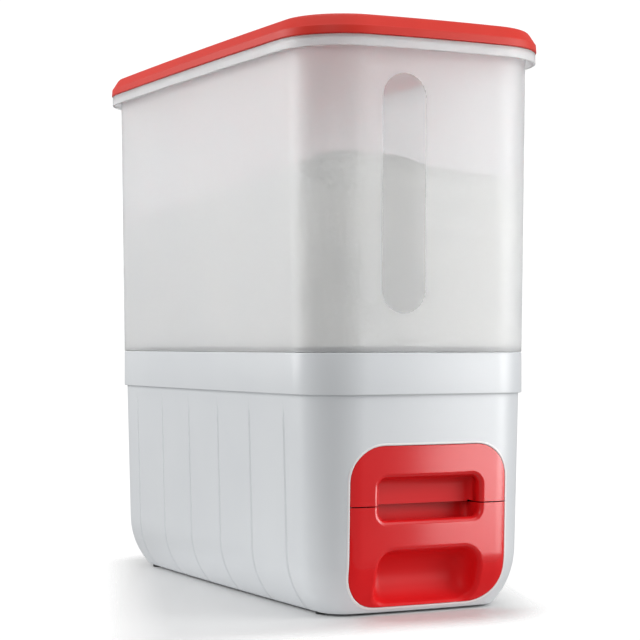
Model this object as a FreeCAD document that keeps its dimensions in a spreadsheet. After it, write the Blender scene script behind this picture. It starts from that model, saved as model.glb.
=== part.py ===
"""Rice dispenser with a pull-out drawer: a FreeCAD 1.1 parametric document, in millimetres.

A frosted container with a press-on lid stands in a white base.  Rice slides down the hopper
inside the base into a drawer.  The drawer's front and a top-hung flap above it close the
opening in the front of the base.

Frame: +Z up, -Y is the front (the drawer side), +X is to the right when the back is turned to
the viewer.  The origin is on the floor, below the middle of the plan.
"""
import FreeCAD, Part
import math
import os

import Sketcher
from FreeCAD import Placement, Rotation, Vector

# Driving dimensions: every size that can be set by itself, with the words for it.
SIZES = {
    # the rounded, slightly bowed plan that base, container and lid share
    "width": (185.0, "plan across the middle of the collar, side to side"),
    "depth": (400.0, "plan along the middle of the collar, front to back"),
    "corner_radius": (40.0, "plan corner of the collar"),
    "side_bow": (2.5, "how far each long side bulges"),
    "end_bow": (5.0, "how far the front and the back bulge"),
    # heights
    "foot_height": (1.5, "gap under the base"),
    "base_height": (152.5, "base from its underside to the collar"),
    "collar_height": (29.0, "collar that receives the container"),
    "container_height": (209.0, "container wall above the collar"),
    "flange_height": (8.0, "skirt of the rim flange"),
    "lip_height": (8.0, "sealing lip above the rim flange"),
    "lid_height": (14.5, "lid above the rim flange"),
    # base
    "base_wall": (2.6, "wall of the base"),
    "base_draft": (1.5, "draft of the base wall, degrees"),
    "bottom_radius": (60.0, "arc that turns the base wall in towards the underside"),
    "bottom_rise": (40.0, "height of that arc"),
    "bottom_edge": (3.0, "rounding where that arc meets the underside"),
    "collar_step": (2.4, "collar beyond the lower wall"),
    "nest_gap": (0.3, "play between nested mouldings"),
    "groove_count": (6, "grooves on each long side"),
    "groove_pitch": (56.5, "distance between grooves"),
    "groove_depth": (0.9, "depth of a groove"),
    "groove_width": (3.2, "width of a groove at the surface"),
    "groove_gap": (13.0, "plain band between grooves and collar"),
    "foot_radius": (4.5, "rubber foot"),
    "foot_recess": (1.0, "how far a foot sits in the base"),
    "foot_edge": (0.4, "softened lower edge of a foot"),
    "foot_inset_x": (28.0, "foot centre from the widest side"),
    "foot_inset_y": (46.0, "foot centre from the furthest end"),
    # container
    "container_wall": (2.4, "wall of the container"),
    "container_flare": (3.0, "how far the wall leans out by its top"),
    "neck_length": (24.2, "neck inside the collar"),
    "neck_wall": (2.2, "wall of the neck"),
    "flange_reach": (7.4, "rim flange beyond the wall"),
    "flange_wall": (2.0, "wall of the rim flange"),
    "window_width": (34.0, "clear strip that shows the level"),
    "window_offset": (24.5, "clear strip's middle, left of the centre line"),
    "window_margin": (27.0, "container below the clear strip"),
    "window_length": (166.0, "clear strip, end to end"),
    "window_recess": (0.4, "depth of the clear strip"),
    # lid
    "lid_overhang": (0.8, "lid beyond the rim flange"),
    "lid_lean": (5.6, "how far the lid's side leans in by its top"),
    "lid_bead": (5.7, "height of the bead along the lid's lower edge"),
    "lid_bead_draft": (4.0, "draft of the lid's bead, in degrees"),
    "lid_groove_play": (1.2, "lid's groove outside the sealing lip"),
    "lid_bead_step": (0.6, "bead beyond the side above it"),
    "lid_web": (2.2, "top web of the lid"),
    "lid_plug_wall": (2.2, "plug wall inside the container's mouth"),
    "lid_plug_depth": (3.0, "plug below the top of the rim flange"),
    "lid_panel_depth": (9.0, "recess in the top of the lid"),
    "lid_edge_radius": (2.5, "rounding of the lid's top edge"),
    # front panel: the drawer's front below the split line, the flap above it
    "panel_half_width": (62.0, "half the width of the red panel"),
    "panel_low": (6.0, "panel's lower edge above the floor"),
    "panel_high": (119.0, "panel's upper edge above the floor"),
    "panel_radius": (25.0, "panel's corners"),
    "panel_gap": (0.6, "gap round the panel"),
    "return_depth": (11.0, "return wall round the opening, inward"),
    "split_level": (77.0, "line between drawer front and flap"),
    "split_gap": (0.8, "gap between drawer front and flap"),
    "grip_half_width": (40.0, "half the length of pocket, bar and scoop"),
    "recess_wall": (2.2, "wall behind the pocket and the scoop"),
    "bar_top": (67.0, "top of the grip bar"),
    "bar_thickness": (6.0, "grip bar, front to back"),
    "front_depth": (28.2, "drawer front, from its face to the tray"),
    "rib_thickness": (2.5, "rib between drawer front and tray"),
    "rib_offset": (49.0, "rib's middle from the drawer's middle"),
    "rib_low": (24.0, "rib's lower edge above the floor"),
    "rib_high": (58.0, "rib's upper edge above the floor"),
    "pocket_depth": (20.0, "pocket's back wall behind the face"),
    "pocket_floor": (57.0, "pocket's floor behind the bar"),
    "pocket_radius": (6.0, "rounding inside the pocket"),
    "pocket_high": (96.0, "pocket's upper edge in the flap"),
    "rim_radius": (4.0, "rolled edge round the pocket and the scoop"),
    "hood_depth": (13.0, "depth of the flap's part of the pocket"),
    "hood_corner": (3.5, "lower corners of that part, relieved for the flap's swing"),
    "scoop_radius": (20.2, "hollow under the grip bar"),
    "scoop_level": (25.2, "axis of that hollow above the floor"),
    "scoop_inset": (4.0, "axis of that hollow behind the face"),
    "scoop_end_radius": (12.0, "rounding at the hollow's ends"),
    # flap hinge
    "hinge_level": (94.0, "hinge axis above the floor"),
    "hinge_inset": (6.5, "hinge axis behind the face"),
    "hinge_clearance": (0.3, "between the turning flap and the opening"),
    "hinge_relief": (2.5, "how far below the axis the flap's edge is relieved"),
    "pin_radius": (1.25, "hinge pin at each side"),
    "pin_play": (0.05, "play round a hinge pin"),
    "pin_seat": (1.4, "pin's end outside the panel's side edge"),
    "pin_length": (16.0, "hinge pin"),
    "knuckle_radius": (2.8, "hinge knuckle of the flap"),
    "knuckle_length": (10.0, "hinge knuckle of the flap"),
    "knuckle_inset": (3.0, "hinge knuckle inside the panel's side edge"),
    # hopper
    "hopper_wall": (2.2, "wall of the hopper"),
    "hopper_flange": (2.0, "thickness of the hopper's rim"),
    "hopper_inset": (3.0, "hopper inside the base wall"),
    "mouth_half_width": (52.0, "half the width of the hopper's mouth"),
    "mouth_front": (50.0, "mouth's front wall behind the face"),
    "mouth_length": (74.0, "mouth, front to back"),
    "mouth_level": (63.5, "mouth above the floor"),
    "mouth_radius": (8.0, "mouth's corners"),
    # drawer tray and its guide
    "tray_half_width": (56.0, "half the width of the tray"),
    "tray_wall": (2.0, "wall of the tray"),
    "tray_length": (108.0, "tray, front to back"),
    "tray_low": (8.0, "tray's underside above the floor"),
    "tray_high": (62.0, "tray's rim and shutter plate"),
    "tray_radius": (20.0, "tray's corners"),
    "shutter_length": (107.0, "shutter plate behind the tray"),
    "shutter_skirt": (20.0, "runner under each edge of the shutter plate"),
    "stop_height": (3.0, "stop rib on the shutter plate"),
    "guide_gap": (0.6, "play at each side of the tray"),
    "guide_wall": (2.4, "wall and floor of the guide"),
    "guide_height": (44.0, "side walls of the guide beside the tray"),
    "keeper_reach": (5.0, "keeper over the runner"),
    "keeper_length": (86.0, "keeper, front to back"),
}

# Places that follow from the sizes above, as spreadsheet formulas.
PLACES = {
    "collar_level": "=Sizes.foot_height + Sizes.base_height",
    "base_top": "=collar_level + Sizes.collar_height",
    "shoulder_level": "=base_top + Sizes.container_wall",
    "wall_top": "=base_top + Sizes.container_height",
    "rim_top": "=wall_top + Sizes.flange_height",
    "lip_top": "=rim_top + Sizes.lip_height",
    "lid_top": "=rim_top + Sizes.lid_height",
    "floor_level": "=Sizes.foot_height + Sizes.base_wall",
    "ledge_level": "=collar_level + Sizes.base_wall",
    "side_arc": "=(Sizes.depth ^ 2 / 4 + Sizes.side_bow ^ 2) / (2 * Sizes.side_bow)",
    "side_centre": "=side_arc - Sizes.width / 2",
    "end_arc": "=(Sizes.width ^ 2 / 4 + Sizes.end_bow ^ 2) / (2 * Sizes.end_bow)",
    "end_centre": "=end_arc - Sizes.depth / 2",
    "flare_angle": "=atan(Sizes.container_flare / Sizes.container_height) / 1deg",
    # how far each outline lies outside the collar's outline
    "no_grow": "=0",
    "base_grow": "=-Sizes.collar_step",
    "cavity_grow": "=base_grow - Sizes.base_wall",
    "collar_inner": "=-Sizes.base_wall",
    "neck_grow": "=collar_inner - Sizes.nest_gap",
    "neck_inner": "=neck_grow - Sizes.neck_wall",
    "wall_inner": "=-Sizes.container_wall",
    "lip_grow": "=Sizes.container_flare",
    "lip_inner": "=lip_grow - Sizes.container_wall",
    "flange_grow": "=lip_grow + Sizes.flange_reach",
    "flange_inner": "=flange_grow - Sizes.flange_wall",
    "lid_grow": "=flange_grow + Sizes.lid_overhang",
    "lid_side_grow": "=lid_grow - Sizes.lid_bead_step",
    "lid_side_angle": "=atan(Sizes.lid_lean / (Sizes.lid_height - Sizes.lid_bead)) / 1deg",
    "lid_groove_outer": "=lip_grow + Sizes.lid_groove_play",
    "lid_plug_grow": "=lip_inner - Sizes.nest_gap",
    "lid_plug_inner": "=lid_plug_grow - Sizes.lid_plug_wall",
    "window_grow": "=-Sizes.window_recess",
    "hopper_grow": "=cavity_grow - Sizes.hopper_inset",
    "hopper_inner": "=hopper_grow - Sizes.hopper_wall",
    # the front face of the base at a height follows its draft
    "face_slope": "=tan(Sizes.base_draft * 1deg)",
    "bend_level": "=Sizes.foot_height + Sizes.bottom_rise",
    "bend_inset": "=(collar_level - bend_level) * face_slope",
    "face_top": "=-Sizes.depth / 2 + Sizes.collar_step",
    "face_split": "=face_top + (collar_level - Sizes.split_level) * face_slope",
    "face_hinge": "=face_top + (collar_level - Sizes.hinge_level) * face_slope",
    "hinge_y": "=face_hinge + Sizes.hinge_inset",
    "pin_end": "=Sizes.panel_half_width + Sizes.pin_seat",
    "knuckle_end": "=Sizes.panel_half_width - Sizes.knuckle_inset",
    "swing_radius": "=Sizes.hinge_level - Sizes.split_level - Sizes.split_gap / 4",
    "pocket_back": "=face_split + Sizes.pocket_depth",
    "tray_front": "=face_split + Sizes.front_depth",
    "tray_back": "=tray_front + Sizes.tray_length",
    "shutter_back": "=tray_back + Sizes.shutter_length",
    "mouth_front_y": "=face_split + Sizes.mouth_front",
    "mouth_back_y": "=mouth_front_y + Sizes.mouth_length",
    "guide_half_width": "=Sizes.tray_half_width + Sizes.guide_gap + Sizes.guide_wall",
    "guide_back": "=shutter_back + 2 * Sizes.guide_gap + Sizes.guide_wall",
    "keeper_level": "=Sizes.tray_high + Sizes.guide_gap",
}

# the turned-in foot of the base wall, outside and inside: an arc, as outlines at five levels
TURN_STEPS = 4
for side, grow, radius, low in (
        ("outer", "base_grow", "Sizes.bottom_radius", "Sizes.foot_height"),
        ("inner", "cavity_grow", "(Sizes.bottom_radius - Sizes.base_wall)", "floor_level")):
    PLACES[f"{side}_centre"] = f"=bend_level + {radius} * sin(Sizes.base_draft * 1deg)"
    PLACES[f"{side}_turn"] = f"=asin(({side}_centre - {low}) / {radius}) / 1deg"
    for step in range(TURN_STEPS + 1):
        angle = (f"((Sizes.base_draft + ({side}_turn - Sizes.base_draft) * {step} / {TURN_STEPS})"
                 " * 1deg)")
        PLACES[f"{side}_level_{step}"] = f"={side}_centre - {radius} * sin({angle})"
        PLACES[f"{side}_grow_{step}"] = (f"={grow} - bend_inset - {radius}"
                                         f" * (cos(Sizes.base_draft * 1deg) - cos({angle}))")

CORNERS = ((1, 1), (-1, 1), (-1, -1), (1, -1))
FEET = {"foot_front_left": (-1, -1), "foot_front_right": (1, -1),
        "foot_rear_left": (-1, 1), "foot_rear_right": (1, 1)}
UP = Vector(0, 0, 1)
ALONG_X = Rotation(Vector(0, 1, 0), 90)
FAR = 5.0  # how far a tool starts outside the part it cuts
SLIVER = 0.1  # straight run left between two round ends
TOUCH = 0.01  # lying on, within this

doc = FreeCAD.newDocument("RiceDispenser")


def fill_sheets():
    """Writes the driving dimensions and the places worked out from them."""
    sizes = doc.addObject("Spreadsheet::Sheet", "Sizes")
    for row, (name, (number, words)) in enumerate(SIZES.items(), start=1):
        sizes.set(f"A{row}", words)
        sizes.set(f"B{row}", str(number))
        sizes.setAlias(f"B{row}", name)
    doc.recompute()
    places = doc.addObject("Spreadsheet::Sheet", "Places")
    for row, (name, formula) in enumerate(PLACES.items(), start=1):
        places.set(f"A{row}", name.replace("_", " "))
        places.setAlias(f"B{row}", name)
        places.set(f"B{row}", formula)
    doc.recompute()


def value(name):
    """The number behind a size or a place."""
    sheet = doc.getObject("Sizes" if name in SIZES else "Places")
    return float(sheet.get(name))


def cell(name):
    """The reference to a size or a place for an expression."""
    return f"Sizes.{name}" if name in SIZES else f"Places.{name}"


def bind(item, **expressions):
    """Ties properties of an object to expressions; a double underscore stands for a dot."""
    for name, expression in expressions.items():
        item.setExpression(name.replace("__", "."), expression)


def new_body(name):
    return doc.addObject("PartDesign::Body", name)


def new_sketch(body, name, role, offset="0"):
    """A sketch on one of the body's own origin planes, moved along the plane's normal."""
    sketch = body.newObject("Sketcher::SketchObject", name)
    plane = next(item for item in body.Origin.OriginFeatures if item.Role == role)
    sketch.AttachmentSupport = [(plane, "")]
    sketch.MapMode = "FlatFace"
    sketch.setExpression("AttachmentOffset.Base.z", offset)
    return sketch


def constrain(sketch, kind, *refs, number=None, expression=None):
    """Adds one constraint, and ties it to an expression if there is one."""
    refs = refs if number is None else (*refs, number)
    index = sketch.addConstraint(Sketcher.Constraint(kind, *refs))
    if expression:
        sketch.setExpression(f"Constraints[{index}]", expression)


def plan_corner():
    """Centre of the plan's corner arc and the angles where it meets the side and end arcs."""
    radius = value("corner_radius")
    side = Vector(-value("side_centre"), 0, 0)
    end = Vector(0, -value("end_centre"), 0)
    to_side = value("side_arc") - radius
    to_end = value("end_arc") - radius
    span = end - side
    along = (to_side ** 2 - to_end ** 2 + span.Length ** 2) / (2 * span.Length)
    across = math.sqrt(to_side ** 2 - along ** 2)
    unit = Vector(span).normalize()
    centre = side + unit * along + Vector(-unit.y, unit.x, 0) * across
    if centre.x < 0 or centre.y < 0:
        centre = side + unit * along - Vector(-unit.y, unit.x, 0) * across
    side_angle = math.atan2(centre.y, centre.x - side.x)
    end_angle = math.atan2(centre.y - end.y, centre.x)
    return centre, side_angle, end_angle


def add_outline(sketch, grow):
    """Adds the bowed plan outline, `grow` outside the collar: eight arcs, tangent all round."""
    centre, side_angle, end_angle = plan_corner()
    half_turn = math.pi
    extra = value(grow)
    side_radius = value("side_arc") + extra
    end_radius = value("end_arc") + extra
    corner = value("corner_radius") + extra
    arcs = [
        (-value("side_centre"), 0, side_radius, -side_angle, side_angle),
        (centre.x, centre.y, corner, side_angle, end_angle),
        (0, -value("end_centre"), end_radius, end_angle, half_turn - end_angle),
        (-centre.x, centre.y, corner, half_turn - end_angle, half_turn - side_angle),
        (value("side_centre"), 0, side_radius, half_turn - side_angle, half_turn + side_angle),
        (-centre.x, -centre.y, corner, half_turn + side_angle, half_turn + end_angle),
        (0, value("end_centre"), end_radius, half_turn + end_angle, 2 * half_turn - end_angle),
        (centre.x, -centre.y, corner, 2 * half_turn - end_angle, 2 * half_turn - side_angle),
    ]
    first = sketch.GeometryCount
    for x, y, radius, start, stop in arcs:
        circle = Part.Circle(Vector(x, y, 0), UP, radius)
        sketch.addGeometry(Part.ArcOfCircle(circle, start, stop), False)
    for step in range(len(arcs)):
        following = first + (step + 1) % len(arcs)
        constrain(sketch, "Tangent", first + step, 2, following, 1)
    right, back, left, front = (first, first + 2, first + 4, first + 6)
    more = cell(grow)
    for arc in (right, left):
        constrain(sketch, "PointOnObject", arc, 3, -1)
        constrain(sketch, "Radius", arc, number=side_radius,
                  expression=f"Places.side_arc + {more}")
    for arc in (back, front):
        constrain(sketch, "PointOnObject", arc, 3, -2)
        constrain(sketch, "Radius", arc, number=end_radius, expression=f"Places.end_arc + {more}")
    for arc in range(first + 1, first + 8, 2):
        constrain(sketch, "Radius", arc, number=corner,
                  expression=f"Sizes.corner_radius + {more}")
    reach = value("side_centre")
    constrain(sketch, "DistanceX", right, 3, -1, 1, number=reach, expression="Places.side_centre")
    constrain(sketch, "DistanceX", -1, 1, left, 3, number=reach, expression="Places.side_centre")
    reach = value("end_centre")
    constrain(sketch, "DistanceY", back, 3, -1, 1, number=reach, expression="Places.end_centre")
    constrain(sketch, "DistanceY", -1, 1, front, 3, number=reach, expression="Places.end_centre")


def plan_sketch(body, name, level, *grows):
    """A horizontal sketch that holds one plan outline, or two for a ring."""
    sketch = new_sketch(body, name, "XY_Plane", level)
    for grow in grows:
        add_outline(sketch, grow)
    return sketch


def extrude(body, kind, sketch, length, up=True, taper=None):
    """A Pad or a Pocket along Z; a positive taper opens outward, away from the sketch."""
    feature = body.newObject(f"PartDesign::{kind}", f"{kind}{sketch.Name}")
    feature.Profile = sketch
    feature.setExpression("Length", length)
    feature.Reversed = up != (kind == "Pad")
    if taper:
        feature.setExpression("TaperAngle", taper)
    doc.recompute()
    return feature


def rounded_rectangle(sketch, left, right, low, high, radius):
    """Adds a rectangle with rounded corners; its four sides are expressions (sketch axes)."""
    edges = {name: evaluate(text) for name, text in
             (("left", left), ("right", right), ("low", low), ("high", high))}
    bend = evaluate(radius)
    x0, x1, y0, y1 = (edges[name] for name in ("left", "right", "low", "high"))
    lines = [((x0 + bend, y0), (x1 - bend, y0)), ((x1, y0 + bend), (x1, y1 - bend)),
             ((x1 - bend, y1), (x0 + bend, y1)), ((x0, y1 - bend), (x0, y0 + bend))]
    middles = [(x1 - bend, y0 + bend), (x1 - bend, y1 - bend),
               (x0 + bend, y1 - bend), (x0 + bend, y0 + bend)]
    first = sketch.GeometryCount
    for turn, ((start, stop), middle) in enumerate(zip(lines, middles)):
        sketch.addGeometry(Part.LineSegment(Vector(*start, 0), Vector(*stop, 0)), False)
        circle = Part.Circle(Vector(*middle, 0), UP, bend)
        angle = (turn - 1) * math.pi / 2
        sketch.addGeometry(Part.ArcOfCircle(circle, angle, angle + math.pi / 2), False)
    for step in range(8):
        constrain(sketch, "Tangent", first + step, 2, first + (step + 1) % 8, 1)
    for line, kind in ((0, "Horizontal"), (2, "Vertical"), (4, "Horizontal"), (6, "Vertical")):
        constrain(sketch, kind, first + line)
    constrain(sketch, "Radius", first + 1, number=bend, expression=radius)
    for arc in (3, 5, 7):
        constrain(sketch, "Equal", first + 1, first + arc)
    for line, kind, text in ((6, "DistanceX", left), (2, "DistanceX", right),
                             (0, "DistanceY", low), (4, "DistanceY", high)):
        number = evaluate(text)
        if number >= 0:
            constrain(sketch, kind, -1, 1, first + line, 1, number=number, expression=text)
        else:
            constrain(sketch, kind, first + line, 1, -1, 1, number=-number,
                      expression=f"-({text})")


def evaluate(text):
    """The number that an expression gives now."""
    result = doc.getObject("Sizes").evalExpression(text)
    return float(getattr(result, "Value", result))


def box(name, x, y, z):
    """A Part::Box between two expressions along each axis."""
    item = doc.addObject("Part::Box", name)
    for axis, side, (low, high) in (("x", "Length", x), ("y", "Width", y), ("z", "Height", z)):
        item.setExpression(f"Placement.Base.{axis}", low)
        item.setExpression(side, f"({high}) - ({low})")
    return item


def bar(name, radius, half_length, y, z):
    """A Part::Cylinder along X, centred on X = 0."""
    item = doc.addObject("Part::Cylinder", name)
    item.Placement = Placement(Vector(), ALONG_X)
    item.setExpression("Radius", radius)
    item.setExpression("Height", f"2 * ({half_length})")
    bind(item, Placement__Base__x=f"-({half_length})", Placement__Base__y=y,
         Placement__Base__z=z)
    return item


def cut(name, base, tool):
    item = doc.addObject("Part::Cut", name)
    item.Base = base
    item.Tool = tool
    doc.recompute()
    return item


def fuse(name, *items):
    item = doc.addObject("Part::MultiFuse", name)
    item.Shapes = list(items)
    item.Refine = True
    doc.recompute()
    return item


def common(name, *items):
    item = doc.addObject("Part::MultiCommon", name)
    item.Shapes = list(items)
    doc.recompute()
    return item


def round_edges(name, base, radius, chosen):
    """A Part::Fillet on the edges that `chosen` accepts."""
    item = doc.addObject("Part::Fillet", name)
    item.Base = base
    item.Edges = [(number, evaluate(radius), evaluate(radius))
                  for number, edge in enumerate(base.Shape.Edges, start=1) if chosen(edge)]
    doc.recompute()
    return item


def tub(name, grow, side):
    """Solid tub: the drafted base form below the collar and its turned-in foot."""
    body = new_body(name)
    plan = plan_sketch(body, f"{name}Plan", "Places.collar_level", grow)
    extrude(body, "Pad", plan, "Places.collar_level - Places.bend_level", up=False,
            taper="-Sizes.base_draft")
    sections = [plan_sketch(body, f"{name}Turn{step}", f"Places.{side}_level_{step}",
                            f"{side}_grow_{step}") for step in range(TURN_STEPS + 1)]
    turn = body.newObject("PartDesign::AdditiveLoft", f"{name}Turn")
    turn.Profile = sections[0]
    turn.Sections = sections[1:]
    doc.recompute()
    if side == "outer":
        low = value("foot_height")
        edges = [f"Edge{number}" for number, edge in enumerate(turn.Shape.Edges, start=1)
                 if edge.BoundBox.ZMax < low + TOUCH]
        rounding = body.newObject("PartDesign::Fillet", f"{name}Edge")
        rounding.Base = (turn, edges)
        rounding.setExpression("Radius", "Sizes.bottom_edge")
        doc.recompute()
    return body


def face_prism(name, half, low, high, radius, depth):
    """Prism with rounded corners from in front of the face to `depth` behind it."""
    body = new_body(name)
    sketch = new_sketch(body, f"{name}Outline", "XZ_Plane", f"Sizes.depth / 2 + {FAR}")
    rounded_rectangle(sketch, f"-({half})", half, low, high, radius)
    pad = body.newObject("PartDesign::Pad", f"{name}Pad")
    pad.Profile = sketch
    pad.Reversed = True
    pad.setExpression("Length", f"Sizes.depth / 2 + {FAR} + Places.face_split + {depth}")
    doc.recompute()
    return body


def panel_prism(name, gap, depth):
    """Prism over the red panel's outline, `gap` outside it."""
    return face_prism(name, f"Sizes.panel_half_width + {gap}", f"Sizes.panel_low - ({gap})",
                      f"Sizes.panel_high + {gap}", f"Sizes.panel_radius + {gap}", depth)


def groove_cutters():
    """One V-shaped cutter for each groove, swept down the wall and round its turned-in foot."""
    lean = math.radians(value("base_draft"))
    turn = math.radians(value("outer_turn")) + lean
    radius = value("bottom_radius")
    depth = value("groove_depth")
    cutters = []
    for step in range(int(value("groove_count"))):
        y = (step - (value("groove_count") - 1) / 2) * value("groove_pitch")
        side = math.sqrt((value("side_arc") + value("base_grow")) ** 2 - y ** 2)
        side -= value("side_centre")
        gap = value("groove_gap")
        start = Vector(side - gap * value("face_slope"), y, value("collar_level") - gap)
        middle = Vector(side - value("bend_inset") - radius * math.cos(lean), y,
                        value("outer_centre"))
        bend, half_way, end = (middle + Vector(math.cos(angle), 0, -math.sin(angle)) * radius
                               for angle in (lean, turn / 2, turn))
        path = Part.Wire([Part.LineSegment(start, bend).toShape(),
                          Part.Arc(bend, half_way, end).toShape()])
        # the V starts `groove_depth` under the surface and goes on as far above it
        tip = start - Vector(depth, 0, 0)
        lift = Vector(2 * depth, 0, 0)
        wide = Vector(0, value("groove_width"), 0)
        profile = Part.makePolygon([tip, tip + lift + wide, tip + lift - wide, tip])
        cutter = path.makePipeShell([profile], True, False)
        cutters += [cutter, cutter.mirror(Vector(), Vector(1, 0, 0))]
    return Part.makeCompound(cutters)


def foot_place(side, end):
    """Expressions for a foot's centre."""
    x = f"{side} * (Sizes.width / 2 - Sizes.foot_inset_x)"
    y = f"{end} * (Sizes.depth / 2 - Sizes.foot_inset_y)"
    return x, y


def upright(name, radius, height, x, y, z):
    """A Part::Cylinder along Z."""
    item = doc.addObject("Part::Cylinder", name)
    bind(item, Radius=radius, Height=height, Placement__Base__x=x, Placement__Base__y=y,
         Placement__Base__z=z)
    return item


def make_lid():
    """Press-on lid: leaning side with a bead, groove over the sealing lip, sunk top panel."""
    body = new_body("LidBody")
    bead = plan_sketch(body, "LidBead", "Places.rim_top", "lid_grow")
    extrude(body, "Pad", bead, "Sizes.lid_bead", taper="-Sizes.lid_bead_draft")
    side = plan_sketch(body, "LidSide", "Places.rim_top + Sizes.lid_bead", "lid_side_grow")
    form = extrude(body, "Pad", side, "Sizes.lid_height - Sizes.lid_bead",
                   taper="-Places.lid_side_angle")
    top = value("lid_top")
    rim = [f"Edge{number}" for number, edge in enumerate(form.Shape.Edges, start=1)
           if edge.BoundBox.ZMin > top - 0.01]
    rounding = body.newObject("PartDesign::Fillet", "LidRounding")
    rounding.Base = (form, rim)
    rounding.setExpression("Radius", "Sizes.lid_edge_radius")
    doc.recompute()
    plug = plan_sketch(body, "LidPlug", "Places.rim_top", "lid_plug_grow")
    extrude(body, "Pad", plug, "Sizes.lid_plug_depth", up=False)
    groove = plan_sketch(body, "LidGroove", "Places.rim_top", "lid_groove_outer",
                         "lid_plug_grow")
    extrude(body, "Pocket", groove, "Sizes.lip_height + 2 * Sizes.nest_gap")
    panel = plan_sketch(body, "LidPanel", "Places.lid_top", "lid_plug_inner")
    extrude(body, "Pocket", panel, "Sizes.lid_panel_depth", up=False)
    under = plan_sketch(body, "LidUnder", "Places.rim_top - Sizes.lid_plug_depth",
                        "lid_plug_inner")
    extrude(body, "Pocket", under, "Sizes.lid_plug_depth + Sizes.lid_height"
                                   " - Sizes.lid_panel_depth - Sizes.lid_web")
    return body


def make_container():
    """Container: flared wall, neck that nests in the collar, rim flange and sealing lip."""
    body = new_body("ContainerBody")
    wall = plan_sketch(body, "Wall", "Places.base_top", "no_grow")
    extrude(body, "Pad", wall, "Sizes.container_height", taper="Places.flare_angle")
    neck = plan_sketch(body, "Neck", "Places.base_top", "neck_grow")
    extrude(body, "Pad", neck, "Sizes.neck_length", up=False)
    flange = plan_sketch(body, "Flange", "Places.wall_top", "flange_grow")
    extrude(body, "Pad", flange, "Sizes.flange_height")
    lip = plan_sketch(body, "Lip", "Places.rim_top", "lip_grow")
    extrude(body, "Pad", lip, "Sizes.lip_height")
    skirt = plan_sketch(body, "Skirt", "Places.wall_top", "flange_inner", "lip_grow")
    extrude(body, "Pocket", skirt, "Sizes.flange_height - Sizes.flange_wall")
    inside = plan_sketch(body, "Inside", "Places.shoulder_level", "wall_inner")
    extrude(body, "Pocket", inside, "Places.wall_top - Places.shoulder_level",
            taper="Places.flare_angle")
    mouth = plan_sketch(body, "Mouth", "Places.lip_top", "lip_inner")
    extrude(body, "Pocket", mouth, "Sizes.lip_height + Sizes.flange_height", up=False)
    throat = plan_sketch(body, "Throat", "Places.shoulder_level", "neck_inner")
    extrude(body, "Pocket", throat, "Sizes.neck_length + Sizes.container_wall", up=False)
    return cut("Container", body, make_window(body))


def make_window(body):
    """The clear strip: a slot-shaped prism, kept only within a thin skin of the wall."""
    strip = new_body("WindowBody")
    sketch = new_sketch(strip, "WindowOutline", "XZ_Plane", f"Sizes.depth / 2 + {FAR}")
    low = "Places.base_top + Sizes.window_margin"
    rounded_rectangle(sketch, "-Sizes.window_offset - Sizes.window_width / 2",
                      "-Sizes.window_offset + Sizes.window_width / 2",
                      low, f"{low} + Sizes.window_length", f"Sizes.window_width / 2 - {SLIVER}")
    pad = strip.newObject("PartDesign::Pad", "WindowPad")
    pad.Profile = sketch
    pad.Reversed = True
    pad.setExpression("Length", f"{FAR} + Sizes.end_bow + Sizes.container_wall")
    core = new_body("WindowCore")
    inner = plan_sketch(core, "WindowDepth", "Places.base_top", "window_grow")
    extrude(core, "Pad", inner, "Sizes.container_height", taper="Places.flare_angle")
    return cut("WindowSkin", strip, core)


def make_base():
    """Base housing: drafted tub with collar, side grooves and the panel's opening."""
    outer = tub("BaseOuter", "base_grow", "outer")
    inner = tub("BaseInner", "cavity_grow", "inner")
    collar = new_body("Collar")
    rim = plan_sketch(collar, "CollarPlan", "Places.collar_level", "no_grow")
    extrude(collar, "Pad", rim, "Sizes.collar_height")
    bore = plan_sketch(collar, "CollarBore", "Places.base_top", "collar_inner")
    extrude(collar, "Pocket", bore, "Sizes.collar_height - Sizes.base_wall", up=False)
    ledge = plan_sketch(collar, "CollarLedge", "Places.base_top", "cavity_grow")
    extrude(collar, "Pocket", ledge, "Sizes.collar_height", up=False)
    shell = cut("BaseShell", outer, inner)
    opening = panel_prism("Opening", "Sizes.panel_gap", "Sizes.front_depth")
    surround = panel_prism("Surround", "Sizes.panel_gap + Sizes.base_wall", "Sizes.return_depth")
    return_wall = common("ReturnWall", outer, surround)
    housing = cut("BaseOpened", fuse("BaseHousing", shell, collar, return_wall), opening)
    grooves = doc.addObject("Part::Feature", "Grooves")
    grooves.Shape = groove_cutters()
    housing = cut("BaseGrooved", housing, grooves)
    seats = [upright(f"Seat{side}{end}".replace("-", "n"), "Sizes.foot_radius + Sizes.nest_gap",
                     "Sizes.foot_recess", *foot_place(side, end), "Sizes.foot_height")
             for side, end in CORNERS]
    housing = cut("BaseFooted", housing, fuse("FootSeats", *seats))
    seat = bar("PinSeat", "Sizes.pin_radius", "Places.pin_end", "Places.hinge_y",
               "Sizes.hinge_level")
    return outer, inner, shell, cut("Base", housing, seat)


def make_feet():
    """Rubber feet seated in the underside, each with a softened lower edge."""
    feet = {}
    for name, (side, end) in FEET.items():
        disc = upright(f"Disc_{name}", "Sizes.foot_radius", "Sizes.foot_height + Sizes.foot_recess",
                       *foot_place(side, end), "0")
        doc.recompute()
        feet[name] = round_edges(f"Round_{name}", disc, "Sizes.foot_edge",
                                 lambda edge: edge.BoundBox.ZMax < TOUCH)
    return feet


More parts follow.
